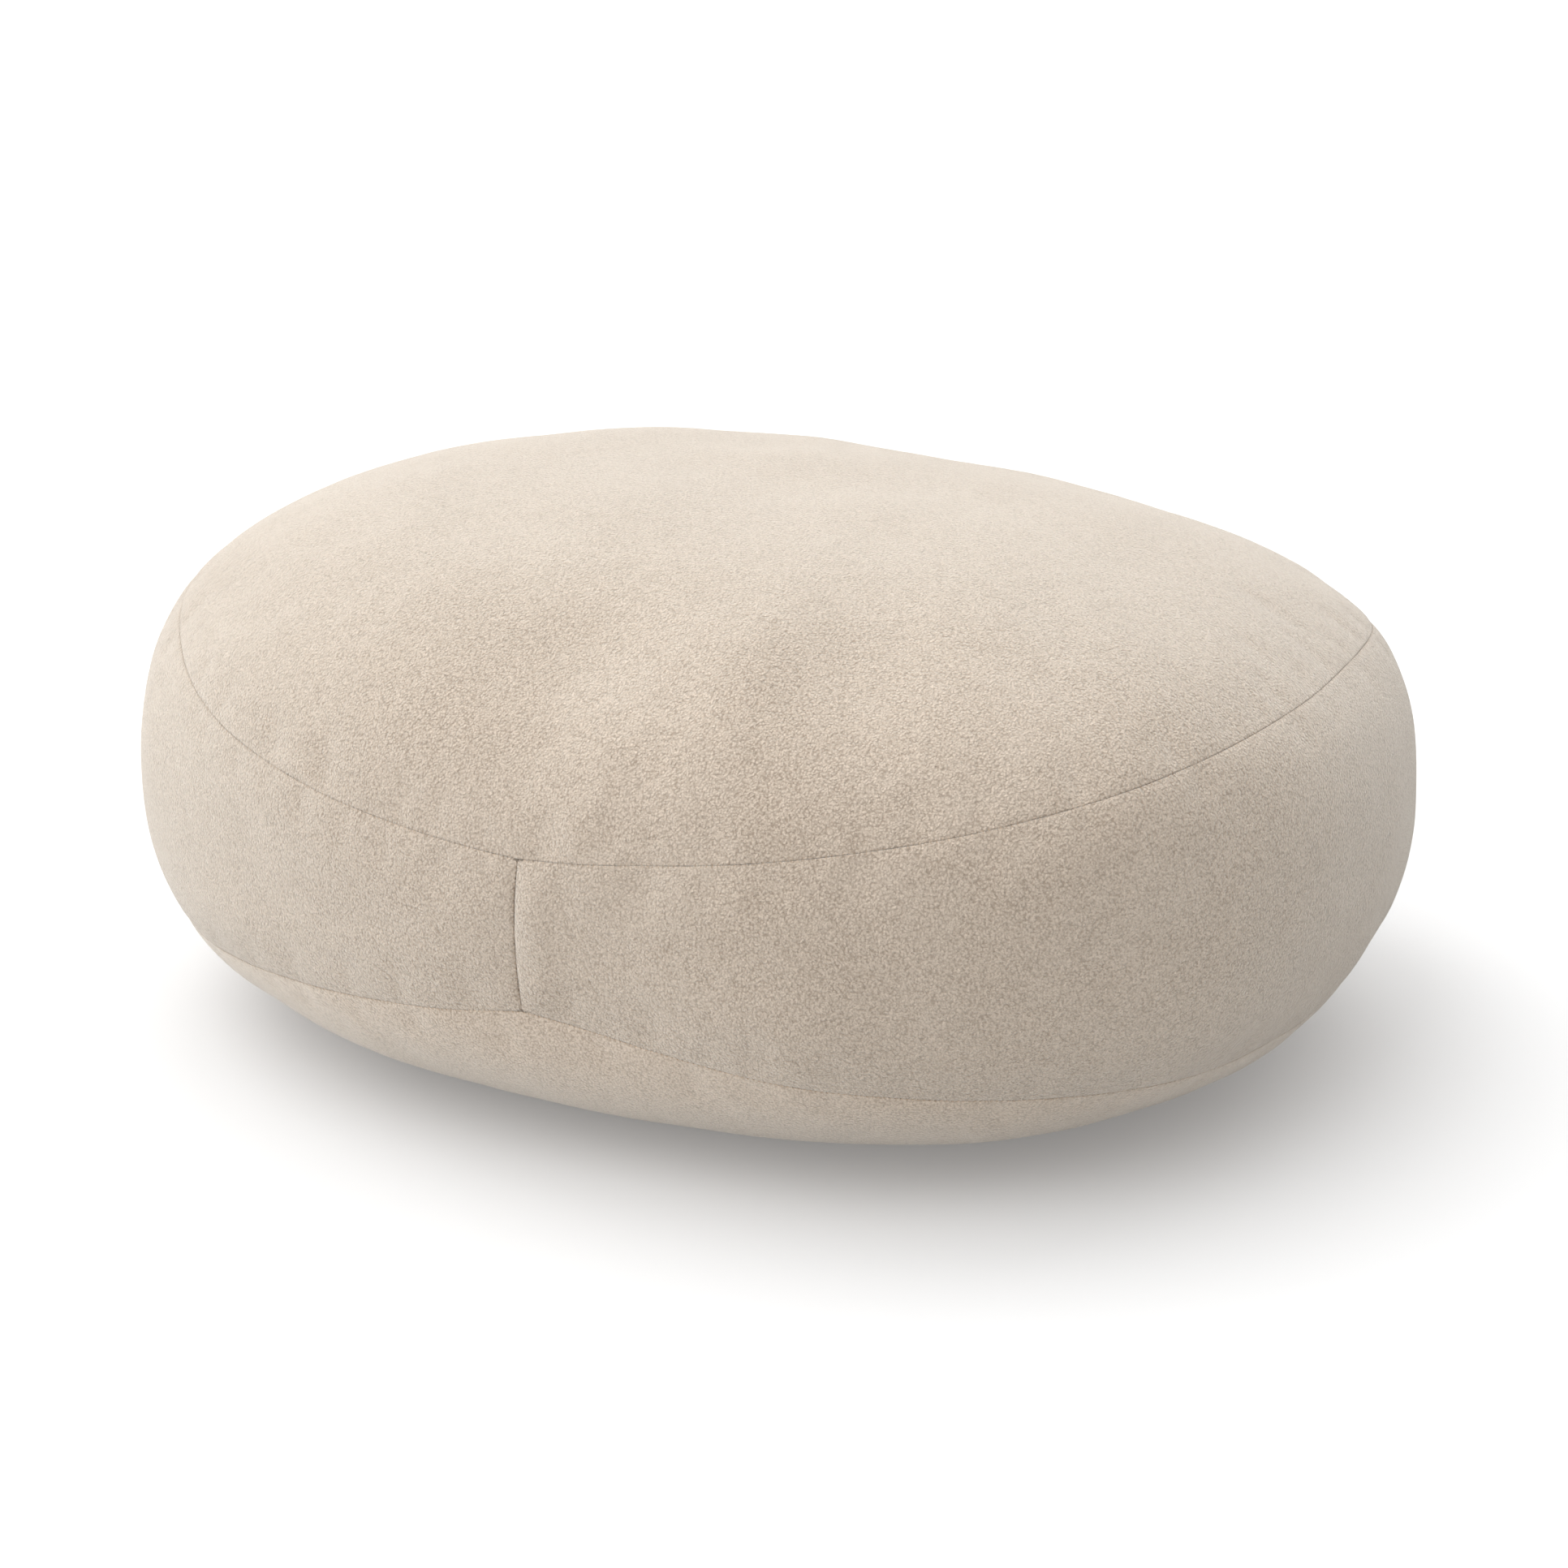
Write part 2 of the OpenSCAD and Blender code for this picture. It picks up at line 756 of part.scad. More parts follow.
module liner_top() {
    edge = [for (t = inner_turns) liner_rise(t, top_seam(t), 1)];
    peak = [for (t = inner_turns) 90];
    back = liner_depth + liner_thickness;
    color(liner_colour)
        capped_cloth(
            inner_grid(inner_turns, edge, peak, inner_top_shares, liner_depth),
            inner_grid(inner_turns, edge, peak, inner_top_shares, back),
            [0, 0, height - liner_depth],
            [0, 0, height - back],
            true
        );
}

module liner_band() {
    from = [for (t = inner_turns) liner_rise(t, free_lower_seam(t), 1)];
    to = [for (t = inner_turns) liner_rise(t, top_seam(t), -1)];
    color(liner_colour)
        open_cloth(
            inner_grid(inner_turns, from, to, inner_band_shares, liner_depth),
            inner_grid(inner_turns, from, to, inner_band_shares, liner_depth + liner_thickness),
            true
        );
}

module liner_base() {
    rim = [for (t = inner_turns) -90];
    edge = [for (t = inner_turns) liner_rise(t, free_lower_seam(t), -1)];
    back = liner_depth + liner_thickness;
    color(liner_colour)
        capped_cloth(
            inner_grid(inner_turns, rim, edge, inner_base_shares, liner_depth),
            inner_grid(inner_turns, rim, edge, inner_base_shares, back),
            [0, 0, liner_depth],
            [0, 0, back],
            false
        );
}

module filling() {
    rim = [for (t = inner_turns) -90];
    low = [for (t = inner_turns) free_lower_seam(t)];
    high = [for (t = inner_turns) top_seam(t)];
    peak = [for (t = inner_turns) 90];
    base_rows = inner_grid(inner_turns, rim, low, inner_base_shares, filling_depth);
    band_rows = inner_grid(inner_turns, low, high, inner_band_shares, filling_depth);
    top_rows = inner_grid(inner_turns, high, peak, inner_top_shares, filling_depth);
    color(filling_colour)
        closed_bag(
            concat(
                base_rows,
                [for (i = [1 : len(band_rows) - 1]) band_rows[i]],
                [for (i = [1 : len(top_rows) - 1]) top_rows[i]]
            ),
            [0, 0, filling_depth],
            [0, 0, height - filling_depth]
        );
}

top_panel();
side_band(left_turns);  // band_left
side_band(right_turns);  // band_right
base_panel();
top_seam_thread();
lower_seam_thread();
upright_seam_thread(front_turn);  // front_seam_thread
upright_seam_thread(back_turn);  // back_seam_thread
zip_tape(1);  // zip_tape_upper
zip_tape(-1);  // zip_tape_lower
zip_teeth(1);  // zip_teeth_upper
zip_teeth(-1);  // zip_teeth_lower
zip_top_stops();
zip_bottom_stop();
zip_slider();
zip_pull();
care_label();
liner_top();
liner_band();
liner_base();
filling();
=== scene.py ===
"""Looks of the floor cushion: a cloth-simulated fleece cover, its stitches, the zip, the
liner and the filling, on a pale floor under soft studio light. Everything is in metres in
the CAD frame: X along the length, the front facing -Y, Z up from the floor."""

import math

import bpy
import numpy as np
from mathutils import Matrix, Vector, noise
from mathutils.bvhtree import BVHTree
from mathutils.interpolate import poly_3d_calc


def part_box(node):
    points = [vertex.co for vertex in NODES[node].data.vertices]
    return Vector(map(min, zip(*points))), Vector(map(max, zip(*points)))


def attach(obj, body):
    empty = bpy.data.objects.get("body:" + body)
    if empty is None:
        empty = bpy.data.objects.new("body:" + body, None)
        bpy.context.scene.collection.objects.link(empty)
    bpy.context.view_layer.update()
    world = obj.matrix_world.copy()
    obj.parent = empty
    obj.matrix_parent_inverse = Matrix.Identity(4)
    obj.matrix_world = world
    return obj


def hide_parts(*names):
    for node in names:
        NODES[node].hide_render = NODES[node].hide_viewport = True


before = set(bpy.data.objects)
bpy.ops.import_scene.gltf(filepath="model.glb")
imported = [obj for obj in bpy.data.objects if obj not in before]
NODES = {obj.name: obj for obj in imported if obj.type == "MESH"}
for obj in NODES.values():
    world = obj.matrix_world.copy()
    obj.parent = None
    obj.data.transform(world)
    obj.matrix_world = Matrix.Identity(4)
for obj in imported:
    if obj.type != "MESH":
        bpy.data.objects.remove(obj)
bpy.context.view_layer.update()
MM = 0.001

# ---- Sizes, from the frame and from the way the cover is cut --------------------------

HALF_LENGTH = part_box("band_right")[1][0]
HALF_WIDTH = -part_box("band_right")[0][1]
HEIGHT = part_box("top_panel")[1][2]
ZIP_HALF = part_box("zip_bottom_stop")[1][0]

# The outline: the powers square off the plan and the profile
WIDEST = 150 * MM
CONTACT_SHARE = 0.48
PLAN_POWER = 2.4
TOP_POWER = 2.7
BASE_POWER = 2.4

# Turns of the middles of the front and the back, and rises of the lowest and highest points
FRONT, BACK = -90.0, 90.0
BOTTOM, PEAK = -90.0, 90.0

# Level seams: rise of the profile in degrees, how far the rise swings from the ends to the
# sides, and how far an upright seam pinches them
TOP_SEAM_RISE = 22
TOP_SEAM_SWING = 7
TOP_SEAM_PINCH = 4
LOWER_SEAM_RISE = -30
LOWER_SEAM_SWING = 4
LOWER_SEAM_PINCH = 13
PINCH_REACH = 20.0

# The back is even from this sine of the turn on, and unevenness fades over this much before
EVEN_FROM = 0.55
EVEN_FADE = 0.5

# Uneven settling of the filling, as shares of the half length
WANDER_ALONG = 0.026
WANDER_ACROSS = -0.022
LEAN_ALONG = 0.029
LEAN_ACROSS = 0.019

# The zip, and how it draws the lower seam in at the back
ZIP_DRAW = 7 * MM
ZIP_FADE = 90 * MM
ZIP_TAPER = 15 * MM
ZIP_OPENING = 10 * MM
ZIP_OPENING_SPARE = 2 * MM
ZIP_OPENING_REACH = 40 * MM
ZIP_RELIEF = 2.5 * MM

# The cover's cloth, and how it rolls in at its seams
COVER_THICKNESS = 3 * MM
SEAM_GAP = 0.12 * MM
SEAM_DEPTH = 0.3 * MM
SEAM_ROLL = 4 * MM
GATHER_SIZE = 16 * MM
GATHER_SHARE = 0.35

# The front upright seam: a ditch, a swell on its right, and a bow to the side
FRONT_DITCH = 0.8 * MM
FRONT_SWELL = 2.0 * MM
FRONT_SWELL_PLACE = 12 * MM
FRONT_SWELL_REACH = 9 * MM
FRONT_BOW = -1.5 * MM
FRONT_BOW_REACH = 60 * MM
FRONT_BOW_FOOT = 0.35
FRONT_FADE = 8


# ---- Skin of the cushion --------------------------------------------------------------


def smooth(share):
    """Rises smoothly from 0 to 1 as share does."""
    share = np.clip(share, 0, 1)
    return share * share * (3 - 2 * share)


def signed_power(value, power):
    return np.sign(value) * np.abs(value) ** power


def turn_between(a, b):
    return np.abs((a - b + 540) % 360 - 180)


def pinch(turn, at):
    """1 where an upright seam pinches a level one, fading away on both sides."""
    return np.exp(-turn_between(turn, at) / PINCH_REACH)


def frontness(turn):
    """1 round the front and the ends, fading to 0 at the back, where the zip is straight."""
    return smooth((EVEN_FROM - np.sin(np.radians(turn))) / EVEN_FADE)


def waver(turn, along, across, twice):
    """How a hand-fed seam wanders from its even line round the cushion, in degrees."""
    t = np.radians(turn - FRONT)
    return frontness(turn) * (along * np.cos(t) + across * np.sin(t) + twice * np.sin(2 * t))


def top_seam(turn):
    """Rise of the top seam, in degrees of the profile above the widest level."""
    even = TOP_SEAM_RISE + TOP_SEAM_SWING * np.cos(np.radians(2 * turn))
    pinched = TOP_SEAM_PINCH * (pinch(turn, FRONT) + pinch(turn, BACK))
    return even - pinched + waver(turn, along=-1.0, across=-0.6, twice=-0.5)


def lower_seam(turn):
    """Rise of the lower seam, below the widest level."""
    even = LOWER_SEAM_RISE - LOWER_SEAM_SWING * np.cos(np.radians(2 * turn))
    pinched = LOWER_SEAM_PINCH * pinch(turn, FRONT)
    return even + pinched + waver(turn, along=2.0, across=2.4, twice=-3.9)


def free_skin(turn, rise):
    """Points of the skin at turns round it and rises up it, before the zip holds it."""
    c = signed_power(np.cos(np.radians(turn)), 2 / PLAN_POWER)
    s = signed_power(np.sin(np.radians(turn)), 2 / PLAN_POWER)
    up = np.radians(np.clip(rise, 0, 90))
    down = np.radians(np.clip(-rise, 0, 90))
    spread_up = np.cos(up) ** (2 / TOP_POWER)
    spread_down = CONTACT_SHARE + (1 - CONTACT_SHARE) * np.cos(down) ** (2 / BASE_POWER)
    spread = np.where(rise >= 0, spread_up, spread_down)
    # The filling has settled unevenly: the widest level wanders, and the top leans
    t = np.radians(2 * turn)
    wander = WANDER_ALONG * np.cos(t) + WANDER_ACROSS * np.sin(t)
    widest = WIDEST + frontness(turn) * HALF_LENGTH * wander
    lean = -HALF_LENGTH * (LEAN_ALONG * c + LEAN_ACROSS * s) * spread * (1 - spread**2)
    above = widest + (HEIGHT - widest) * np.sin(up) ** (2 / TOP_POWER) + lean
    below = widest - widest * np.sin(down) ** (2 / BASE_POWER)
    z = np.where(rise >= 0, above, below)
    return np.stack([HALF_LENGTH * c * spread, HALF_WIDTH * s * spread, z], axis=-1)


def turn_at(x):
    """The turn at which the lower seam stands x from the middle of the back."""
    turns = np.linspace(45, BACK, 2001)
    reach = free_skin(turns, lower_seam(turns))[:, 0]
    return float(np.interp(-x, -reach, turns))


ZIP_TURN = turn_at(ZIP_HALF + ZIP_TAPER)
OPEN_TURN = turn_at(ZIP_HALF + ZIP_OPENING_SPARE)
ZIP_SEAT = free_skin(np.array(BACK), lower_seam(np.array(BACK))) - np.array([0, ZIP_DRAW, 0])


def over_zip(turn):
    """Is a turn within the zip's opening?"""
    return np.sin(np.radians(turn)) > math.sin(math.radians(OPEN_TURN)) - 1e-6


def zip_hold(turn, rise):
    """How firmly the zip holds a point: 1 on the zip, 0 away from it."""
    near = np.clip(turn, ZIP_TURN, 2 * BACK - ZIP_TURN)
    seam = free_skin(turn, lower_seam(turn))
    end = free_skin(near, lower_seam(near))
    along = np.linalg.norm(seam - end, axis=-1)
    away = np.linalg.norm(free_skin(turn, rise) - seam, axis=-1)
    hold = (1 - smooth(along / ZIP_FADE)) * (1 - smooth(away / ZIP_FADE))
    return np.where(np.sin(np.radians(turn)) > 0, hold, 0)


def front_bow(turn, rise):
    """How far the front seam, and the cloth beside it, bow sideways between level seams."""
    low, high = lower_seam(turn), top_seam(turn)
    climb = np.clip((rise - low) / (high - low), 0, 1)
    bow = np.sin(math.pi * climb) - FRONT_BOW_FOOT * np.cos(math.pi / 2 * climb) ** 2
    past_foot = rise - low + FRONT_FADE
    bow = np.where((past_foot > 0) & (rise < high), bow, 0) * smooth(past_foot / FRONT_FADE)
    x = HALF_LENGTH * signed_power(np.cos(np.radians(turn)), 2 / PLAN_POWER)
    near = np.exp(-((x / FRONT_BOW_REACH) ** 2)) * (np.sin(np.radians(turn)) < 0)
    return FRONT_BOW * bow * near


def skin(turn, rise):
    """Points of the skin, where the zip holds its stretch of the lower seam straight."""
    turn, rise = np.broadcast_arrays(np.asarray(turn, float), np.asarray(rise, float))
    turn = (turn - FRONT) % 360 + FRONT
    near = np.clip(turn, ZIP_TURN, 2 * BACK - ZIP_TURN)
    pull = ZIP_SEAT - free_skin(near, lower_seam(near))
    pull[..., 0] = 0
    points = free_skin(turn, rise) + zip_hold(turn, rise)[..., None] * pull
    points[..., 0] += front_bow(turn, rise)
    return points


# ---- Rings of points round the cushion ------------------------------------------------


def arc_lengths(points):
    steps = np.linalg.norm(np.diff(points, axis=0), axis=1)
    return np.concatenate([[0], np.cumsum(steps)])


def spaced(length, count, at_start, at_end, close):
    """Distances from 0 to length, closer together beside a seam at either end."""
    start = close if at_start else close[:1]
    end = close if at_end else close[:1]
    inner = np.linspace(start[-1], length - end[-1], count - len(start) - len(end) + 2)
    return np.concatenate([start[:-1], inner, length - end[:-1][::-1]])


def column_turns(columns, close):
    """Turns of the columns, evenly spaced along the skin and closer at the upright seams."""
    fine = np.linspace(0, 90, 4001)
    arc = arc_lengths(skin(fine + FRONT, np.zeros_like(fine)))
    quarter = np.interp(spaced(arc[-1], columns // 4 + 1, True, False, close), arc, fine)
    first = quarter[:-1]
    second = 180 - quarter[::-1][:-1]
    half = np.concatenate([first, second])
    return np.concatenate([half, half + 180]) + FRONT


class Rings:
    """Rings of points from the middle of the base to the middle of the top. The number of
    points in a ring halves as the rings shrink, so that neighbours stay at least room apart.
    A gap is left open at the seams, and a wider opening along the zip."""

    def __init__(self, columns, rows, close, gap, opening, room):
        self.columns = columns
        self.close = close
        self.room = room
        self.turns = column_turns(columns, close)
        self.turn_list, self.rise_list, self.scale_list, self.panels = [], [], [], []
        half_gap = np.where(over_zip(self.turns), opening, gap) / 2
        top_line = top_seam(self.turns)
        low_line = lower_seam(self.turns)
        rim = np.full(columns, BOTTOM)
        peak = np.full(columns, PEAK)
        base_edge = self.beside(low_line, -half_gap)
        band_foot = self.beside(low_line, half_gap)
        band_head = self.beside(top_line, np.full(columns, -gap / 2))
        top_edge = self.beside(top_line, np.full(columns, gap / 2))
        # With no gap, neighbouring panels share the points of their seam
        skip = 1 if gap == 0 else 0
        for k in range(rows["disc"]):
            self.add(rim, "base", k / rows["disc"])
        for row in self.between(rim, base_edge, rows["base"], False, True):
            self.add(row, "base")
        for row in self.between(band_foot, band_head, rows["band"], True, True)[skip:]:
            self.add(row, "band")
        for row in self.between(top_edge, peak, rows["top"], True, False)[skip:]:
            self.add(row, "top")

    def beside(self, line, distance):
        """Rises at a distance up the skin from a seam line."""
        step = np.linalg.norm(skin(self.turns, line + 0.5) - skin(self.turns, line - 0.5), axis=1)
        return line + distance / step

    def between(self, start, end, count, at_start, at_end):
        """Rises of the rows between two lines, spaced along the skin at every column."""
        share = np.linspace(0, 1, 241)[:, None]
        rises = start + share * (end - start)
        points = skin(np.broadcast_to(self.turns, rises.shape), rises)
        rows = np.zeros((count, self.columns))
        for c in range(self.columns):
            arc = arc_lengths(points[:, c])
            stations = spaced(arc[-1], count, at_start, at_end, self.close)
            rows[:, c] = np.interp(stations, arc, rises[:, c])
        return rows

    def add(self, rises, panel, scale=1.0):
        """Adds a ring, with fewer of the columns where the ring is short."""
        loop = skin(self.turns, rises) * scale
        length = np.linalg.norm(np.roll(loop, -1, axis=0) - loop, axis=1).sum()
        count = self.columns
        while count > 12 and length / count < self.room:
            count //= 2
        if length < self.room:
            count = 1
        step = self.columns // count
        self.turn_list.append(self.turns[::step])
        self.rise_list.append(rises[::step])
        self.scale_list.append(np.full(count, scale))
        self.panels.append(panel)

    def flat(self, keep=None):
        """Turn, rise and scale of every point in the rings of a panel, or in all of them."""
        chosen = [i for i, panel in enumerate(self.panels) if keep in (None, panel)]
        lists = (self.turn_list, self.rise_list, self.scale_list)
        return [np.concatenate([entries[i] for i in chosen]) for entries in lists]

    def faces(self, keep=None):
        """Faces between neighbouring rings of a panel, or of all of them."""
        chosen = [i for i, panel in enumerate(self.panels) if keep in (None, panel)]
        counts = [len(self.turn_list[i]) for i in chosen]
        firsts = np.concatenate([[0], np.cumsum(counts)])
        rings = [np.arange(a, b) for a, b in zip(firsts[:-1], firsts[1:])]
        return [face for low, high in zip(rings[:-1], rings[1:]) for face in ring_faces(low, high)]


def ring_faces(lower, upper):
    """Faces between two rings, facing out. Either may have half the points of the other."""
    low_count, high_count = len(lower), len(upper)
    if low_count == 1:
        return [(lower[0], upper[(i + 1) % high_count], upper[i]) for i in range(high_count)]
    if high_count == 1:
        return [(lower[i], lower[(i + 1) % low_count], upper[0]) for i in range(low_count)]
    if low_count == high_count:
        after = [(i + 1) % low_count for i in range(low_count)]
        return [(lower[i], lower[j], upper[j], upper[i]) for i, j in enumerate(after)]
    wide_low = low_count > high_count
    fine, coarse = (lower, upper) if wide_low else (upper, lower)
    made = []
    for i in range(len(coarse)):
        a, b, c = (fine[(2 * i + k) % len(fine)] for k in range(3))
        d, e = coarse[i], coarse[(i + 1) % len(coarse)]
        made += [(a, b, d), (b, e, d), (b, c, e)]
    return made if wide_low else [face[::-1] for face in made]


def make_mesh(name, points, faces):
    mesh = bpy.data.meshes.new(name)
    mesh.from_pydata([tuple(p) for p in points], [], [tuple(int(i) for i in f) for f in faces])
    mesh.validate()
    mesh.update()
    mesh.polygons.foreach_set("use_smooth", [True] * len(mesh.polygons))
    obj = bpy.data.objects.new(name, mesh)
    bpy.context.scene.collection.objects.link(obj)
    return obj


def points_of(mesh):
    flat = np.empty(len(mesh.vertices) * 3)
    mesh.vertices.foreach_get("co", flat)
    return flat.reshape(-1, 3)


def normals_of(mesh):
    flat = np.empty(len(mesh.vertices) * 3)
    mesh.vertices.foreach_get("normal", flat)
    return flat.reshape(-1, 3)


# ---- Cloth simulation of the closed cover ---------------------------------------------

SIM_CLOSE = np.array([0, 7.0]) * MM
SIM_ROWS = {"disc": 14, "base": 24, "band": 24, "top": 44}
SIM_FRAMES = 20
GATHER_REACH = 18 * MM
GATHER_GROWTH = 0.012
PINNED_REACH = 1 * MM
PINNED_HOLD = 0.8
FIRM_HOLD = 0.75
UNEVENNESS = 0.5 * MM
UNEVENNESS_SIZE = 30 * MM
MOST_MOVE = 10 * MM
SIM_COLUMNS = 288
SIM_ROOM = 6 * MM

sim_rings = Rings(SIM_COLUMNS, SIM_ROWS, SIM_CLOSE, 0, 0, SIM_ROOM)
sim_turns, sim_rises, sim_scales = sim_rings.flat()
sim_rest = skin(sim_turns, sim_rises) * sim_scales[:, None]
sim_faces = sim_rings.faces()
sim_hold = zip_hold(sim_turns, sim_rises)


def to_seams(turn, rise):
    """Distances along the skin to the top, the lower and the nearer upright seam."""
    here = skin(turn, rise)
    to_top = np.linalg.norm(here - skin(turn, top_seam(turn)), axis=-1)
    to_low = np.linalg.norm(here - skin(turn, lower_seam(turn)), axis=-1)
    upright = skin(np.where(here[..., 1] < 0, FRONT, BACK), rise)
    on_band = (rise < top_seam(turn)) & (rise > lower_seam(turn))
    to_upright = np.where(on_band, np.abs(here[..., 0] - upright[..., 0]), 1.0)
    return to_top, to_low, to_upright


def outward(points):
    """Rough directions out of the cushion, for points anywhere on it."""
    away = points - np.array([0, 0, WIDEST])
    return away / np.linalg.norm(away, axis=1)[:, None]


def uneven(points, size, depth, seed=0.0):
    """Smooth random distances up to about depth, in patches of about size."""
    return np.array([noise.noise(Vector(p) / size + Vector((seed, 0, 0))) for p in points]) * depth


def simulate(rest, faces, pinned, smooth_laid):
    """Fills the cover with air and gathers it at its seams. Gives the moved points."""
    obj = make_mesh("simulated_cover", rest, faces)
    for name, weights in (("pinned", pinned), ("smooth_laid", smooth_laid)):
        group = obj.vertex_groups.new(name=name)
        for i, weight in enumerate(weights):
            group.add([i], float(weight), "REPLACE")
    cloth = obj.modifiers.new("Cloth", "CLOTH")
    settings = cloth.settings
    settings.quality = 6
    settings.mass = 0.1
    settings.tension_stiffness = 25
    settings.compression_stiffness = 25
    settings.shear_stiffness = 8
    settings.bending_stiffness = 6
    settings.air_damping = 4
    settings.use_pressure = True
    settings.uniform_pressure_force = 4
    settings.vertex_group_mass = "pinned"
    settings.vertex_group_shrink = "smooth_laid"
    # Cloth that is not laid smooth has grown, so it puckers
    settings.shrink_min = -GATHER_GROWTH
    settings.shrink_max = 0
    settings.effector_weights.gravity = 0
    cloth.point_cache.frame_start = 1
    cloth.point_cache.frame_end = SIM_FRAMES
    scene = bpy.context.scene
    for number in range(1, SIM_FRAMES + 1):
        scene.frame_set(number)
    view_layer = bpy.context.evaluated_depsgraph_get()
    moved = points_of(obj.evaluated_get(view_layer).data)
    scene.frame_set(1)
    bpy.data.objects.remove(obj)
    return moved


def simulated_shift():
    """How far the simulation moves each point, no farther than MOST_MOVE."""
    seams = np.minimum.reduce(to_seams(sim_turns, sim_rises))
    flat_base = sim_rises <= BOTTOM + 0.5
    pinned = (seams < PINNED_REACH) | flat_base | (sim_hold > PINNED_HOLD)
    gathered = np.exp(-seams / GATHER_REACH) * (sim_rises > BOTTOM + 1) * (1 - sim_hold)
    rough = uneven(sim_rest, UNEVENNESS_SIZE, UNEVENNESS) * (1 - pinned)
    start = sim_rest + outward(sim_rest) * rough[:, None]
    shift = simulate(start, sim_faces, pinned.astype(float), 1 - gathered) - sim_rest
    length = np.linalg.norm(shift, axis=1)
    limited = MOST_MOVE * np.tanh(length / MOST_MOVE)
    return shift * (limited / np.maximum(length, 1e-9))[:, None]


# Lumps of the filling: their size, how far they stand out, and a seed
LUMPS = [(110 * MM, 4.5 * MM, 7.0), (45 * MM, 0.8 * MM, 3.0)]
LUMP_FADE = 50 * MM

# Hollows and swells that leaning and plumping leave, above the widest level: the middle in
# x and y, the reach in x and y, and the height
SHOULDER_FADE = 60 * MM
PRESSED = [
    (-0.10, -0.05, 0.16, 0.09, -4 * MM),
    (0.10, 0.10, 0.11, 0.08, -3 * MM),
    (0.0, -0.25, 0.06, 0.05, -8 * MM),
    (0.16, -0.23, 0.045, 0.05, -7 * MM),
    (0.10, -0.24, 0.025, 0.05, 3 * MM),
    (0.04, -0.31, 0.025, 0.04, 3 * MM),
    (-0.31, -0.05, 0.08, 0.10, 8 * MM),
    (0.20, 0.19, 0.08, 0.06, -8 * MM),
    (0.02, 0.19, 0.06, 0.06, -4 * MM),
]


def pressed(points):
    """Heights of the hollows and swells, which are on the upper half only."""
    x, y, z = points.T
    height = np.zeros(len(points))
    for middle_x, middle_y, reach_x, reach_y, rise in PRESSED:
        height += rise * np.exp(-(((x - middle_x) / reach_x) ** 2) - ((y - middle_y) / reach_y) ** 2)
    return height * smooth((z - WIDEST) / SHOULDER_FADE)


sim_shift = simulated_shift()
lumps = sum(uneven(sim_rest, *lump) for lump in LUMPS) + pressed(sim_rest)
lumps *= smooth(sim_rest[:, 2] / LUMP_FADE)
sim_shift += outward(sim_rest) * lumps[:, None]
sim_shift *= (1 - smooth(sim_hold / FIRM_HOLD))[:, None]
sim_tree = BVHTree.FromPolygons([Vector(p) for p in sim_rest], sim_faces)


def moved(turn, rise, scale=1.0):
    """Points of the finished outer face at turns and rises."""
    rest = skin(turn, rise) * np.broadcast_to(scale, turn.shape)[:, None]
    shift = np.zeros_like(rest)
    for i, point in enumerate(rest):
        place, _, face, _ = sim_tree.find_nearest(Vector(point))
        corners = list(sim_faces[face])
        weights = poly_3d_calc([Vector(sim_rest[c]) for c in corners], place)
        shift[i] = np.array(weights) @ sim_shift[corners]
    points = rest + shift
    points[:, 2] = np.maximum(points[:, 2], 0)
    return points


# ---- Cover panels ---------------------------------------------------------------------

COLUMNS = 384
CLOSE = np.array([0, 1.4, 3.2, 5.8]) * MM
COVER_ROWS = {"disc": 24, "base": 38, "band": 36, "top": 62}
COVER_ROOM = 4.4 * MM
cover_rings = Rings(COLUMNS, COVER_ROWS, CLOSE, SEAM_GAP, ZIP_OPENING, COVER_ROOM)


def seam_run(line):
    """Distance along a level seam from its middle at the front, at any turn."""
    fine = np.linspace(-180, 180, 2881)
    arc = arc_lengths(skin(fine + FRONT, line(fine + FRONT)))
    middle = arc[len(arc) // 2]
    return lambda turn: np.interp((turn - FRONT + 180) % 360 - 180, fine, arc - middle)


top_run = seam_run(top_seam)
low_run = seam_run(lower_seam)


def is_at_zip(turn, to_low):
    """Is a point, at a distance from the lower seam, beside the zip's opening?"""
    return over_zip(turn) & (to_low < ZIP_OPENING_REACH)


def seam_marks(turn, rise):
    """Distance from the panel's edge, and distance along the seam that is nearest. Along an
    upright seam that is the height."""
    to_top, to_low, to_upright = to_seams(turn, rise)
    to_low -= np.where(is_at_zip(turn, to_low), (ZIP_OPENING - SEAM_GAP) / 2, 0)
    near = np.minimum(np.minimum(to_top, to_low), to_upright)
    run = np.where(near == to_top, top_run(turn), low_run(turn))
    run = np.where(near == to_upright, skin(turn, rise)[..., 2], run)
    return np.maximum(near - SEAM_GAP / 2, 0), run


def face_and_normals(turn, rise, scale, faces):
    """The finished outer face at turns and rises, and the directions square to it."""
    outer = moved(turn, rise, scale)
    trial = make_mesh("trial", outer, faces)
    normals = normals_of(trial.data)
    bpy.data.objects.remove(trial)
    return outer, normals


def crease_rims(mesh, rims, count):
    """Keeps the cut edges of a layer sharp when it is subdivided."""
    sharp = {tuple(sorted(pair)) for pair in rims}
    sharp |= {(a + count, b + count) for a, b in sharp}
    creases = [float(tuple(sorted(edge.vertices)) in sharp) for edge in mesh.edges]
    mesh.attributes.new("crease_edge", "FLOAT", "EDGE").data.foreach_set("value", creases)


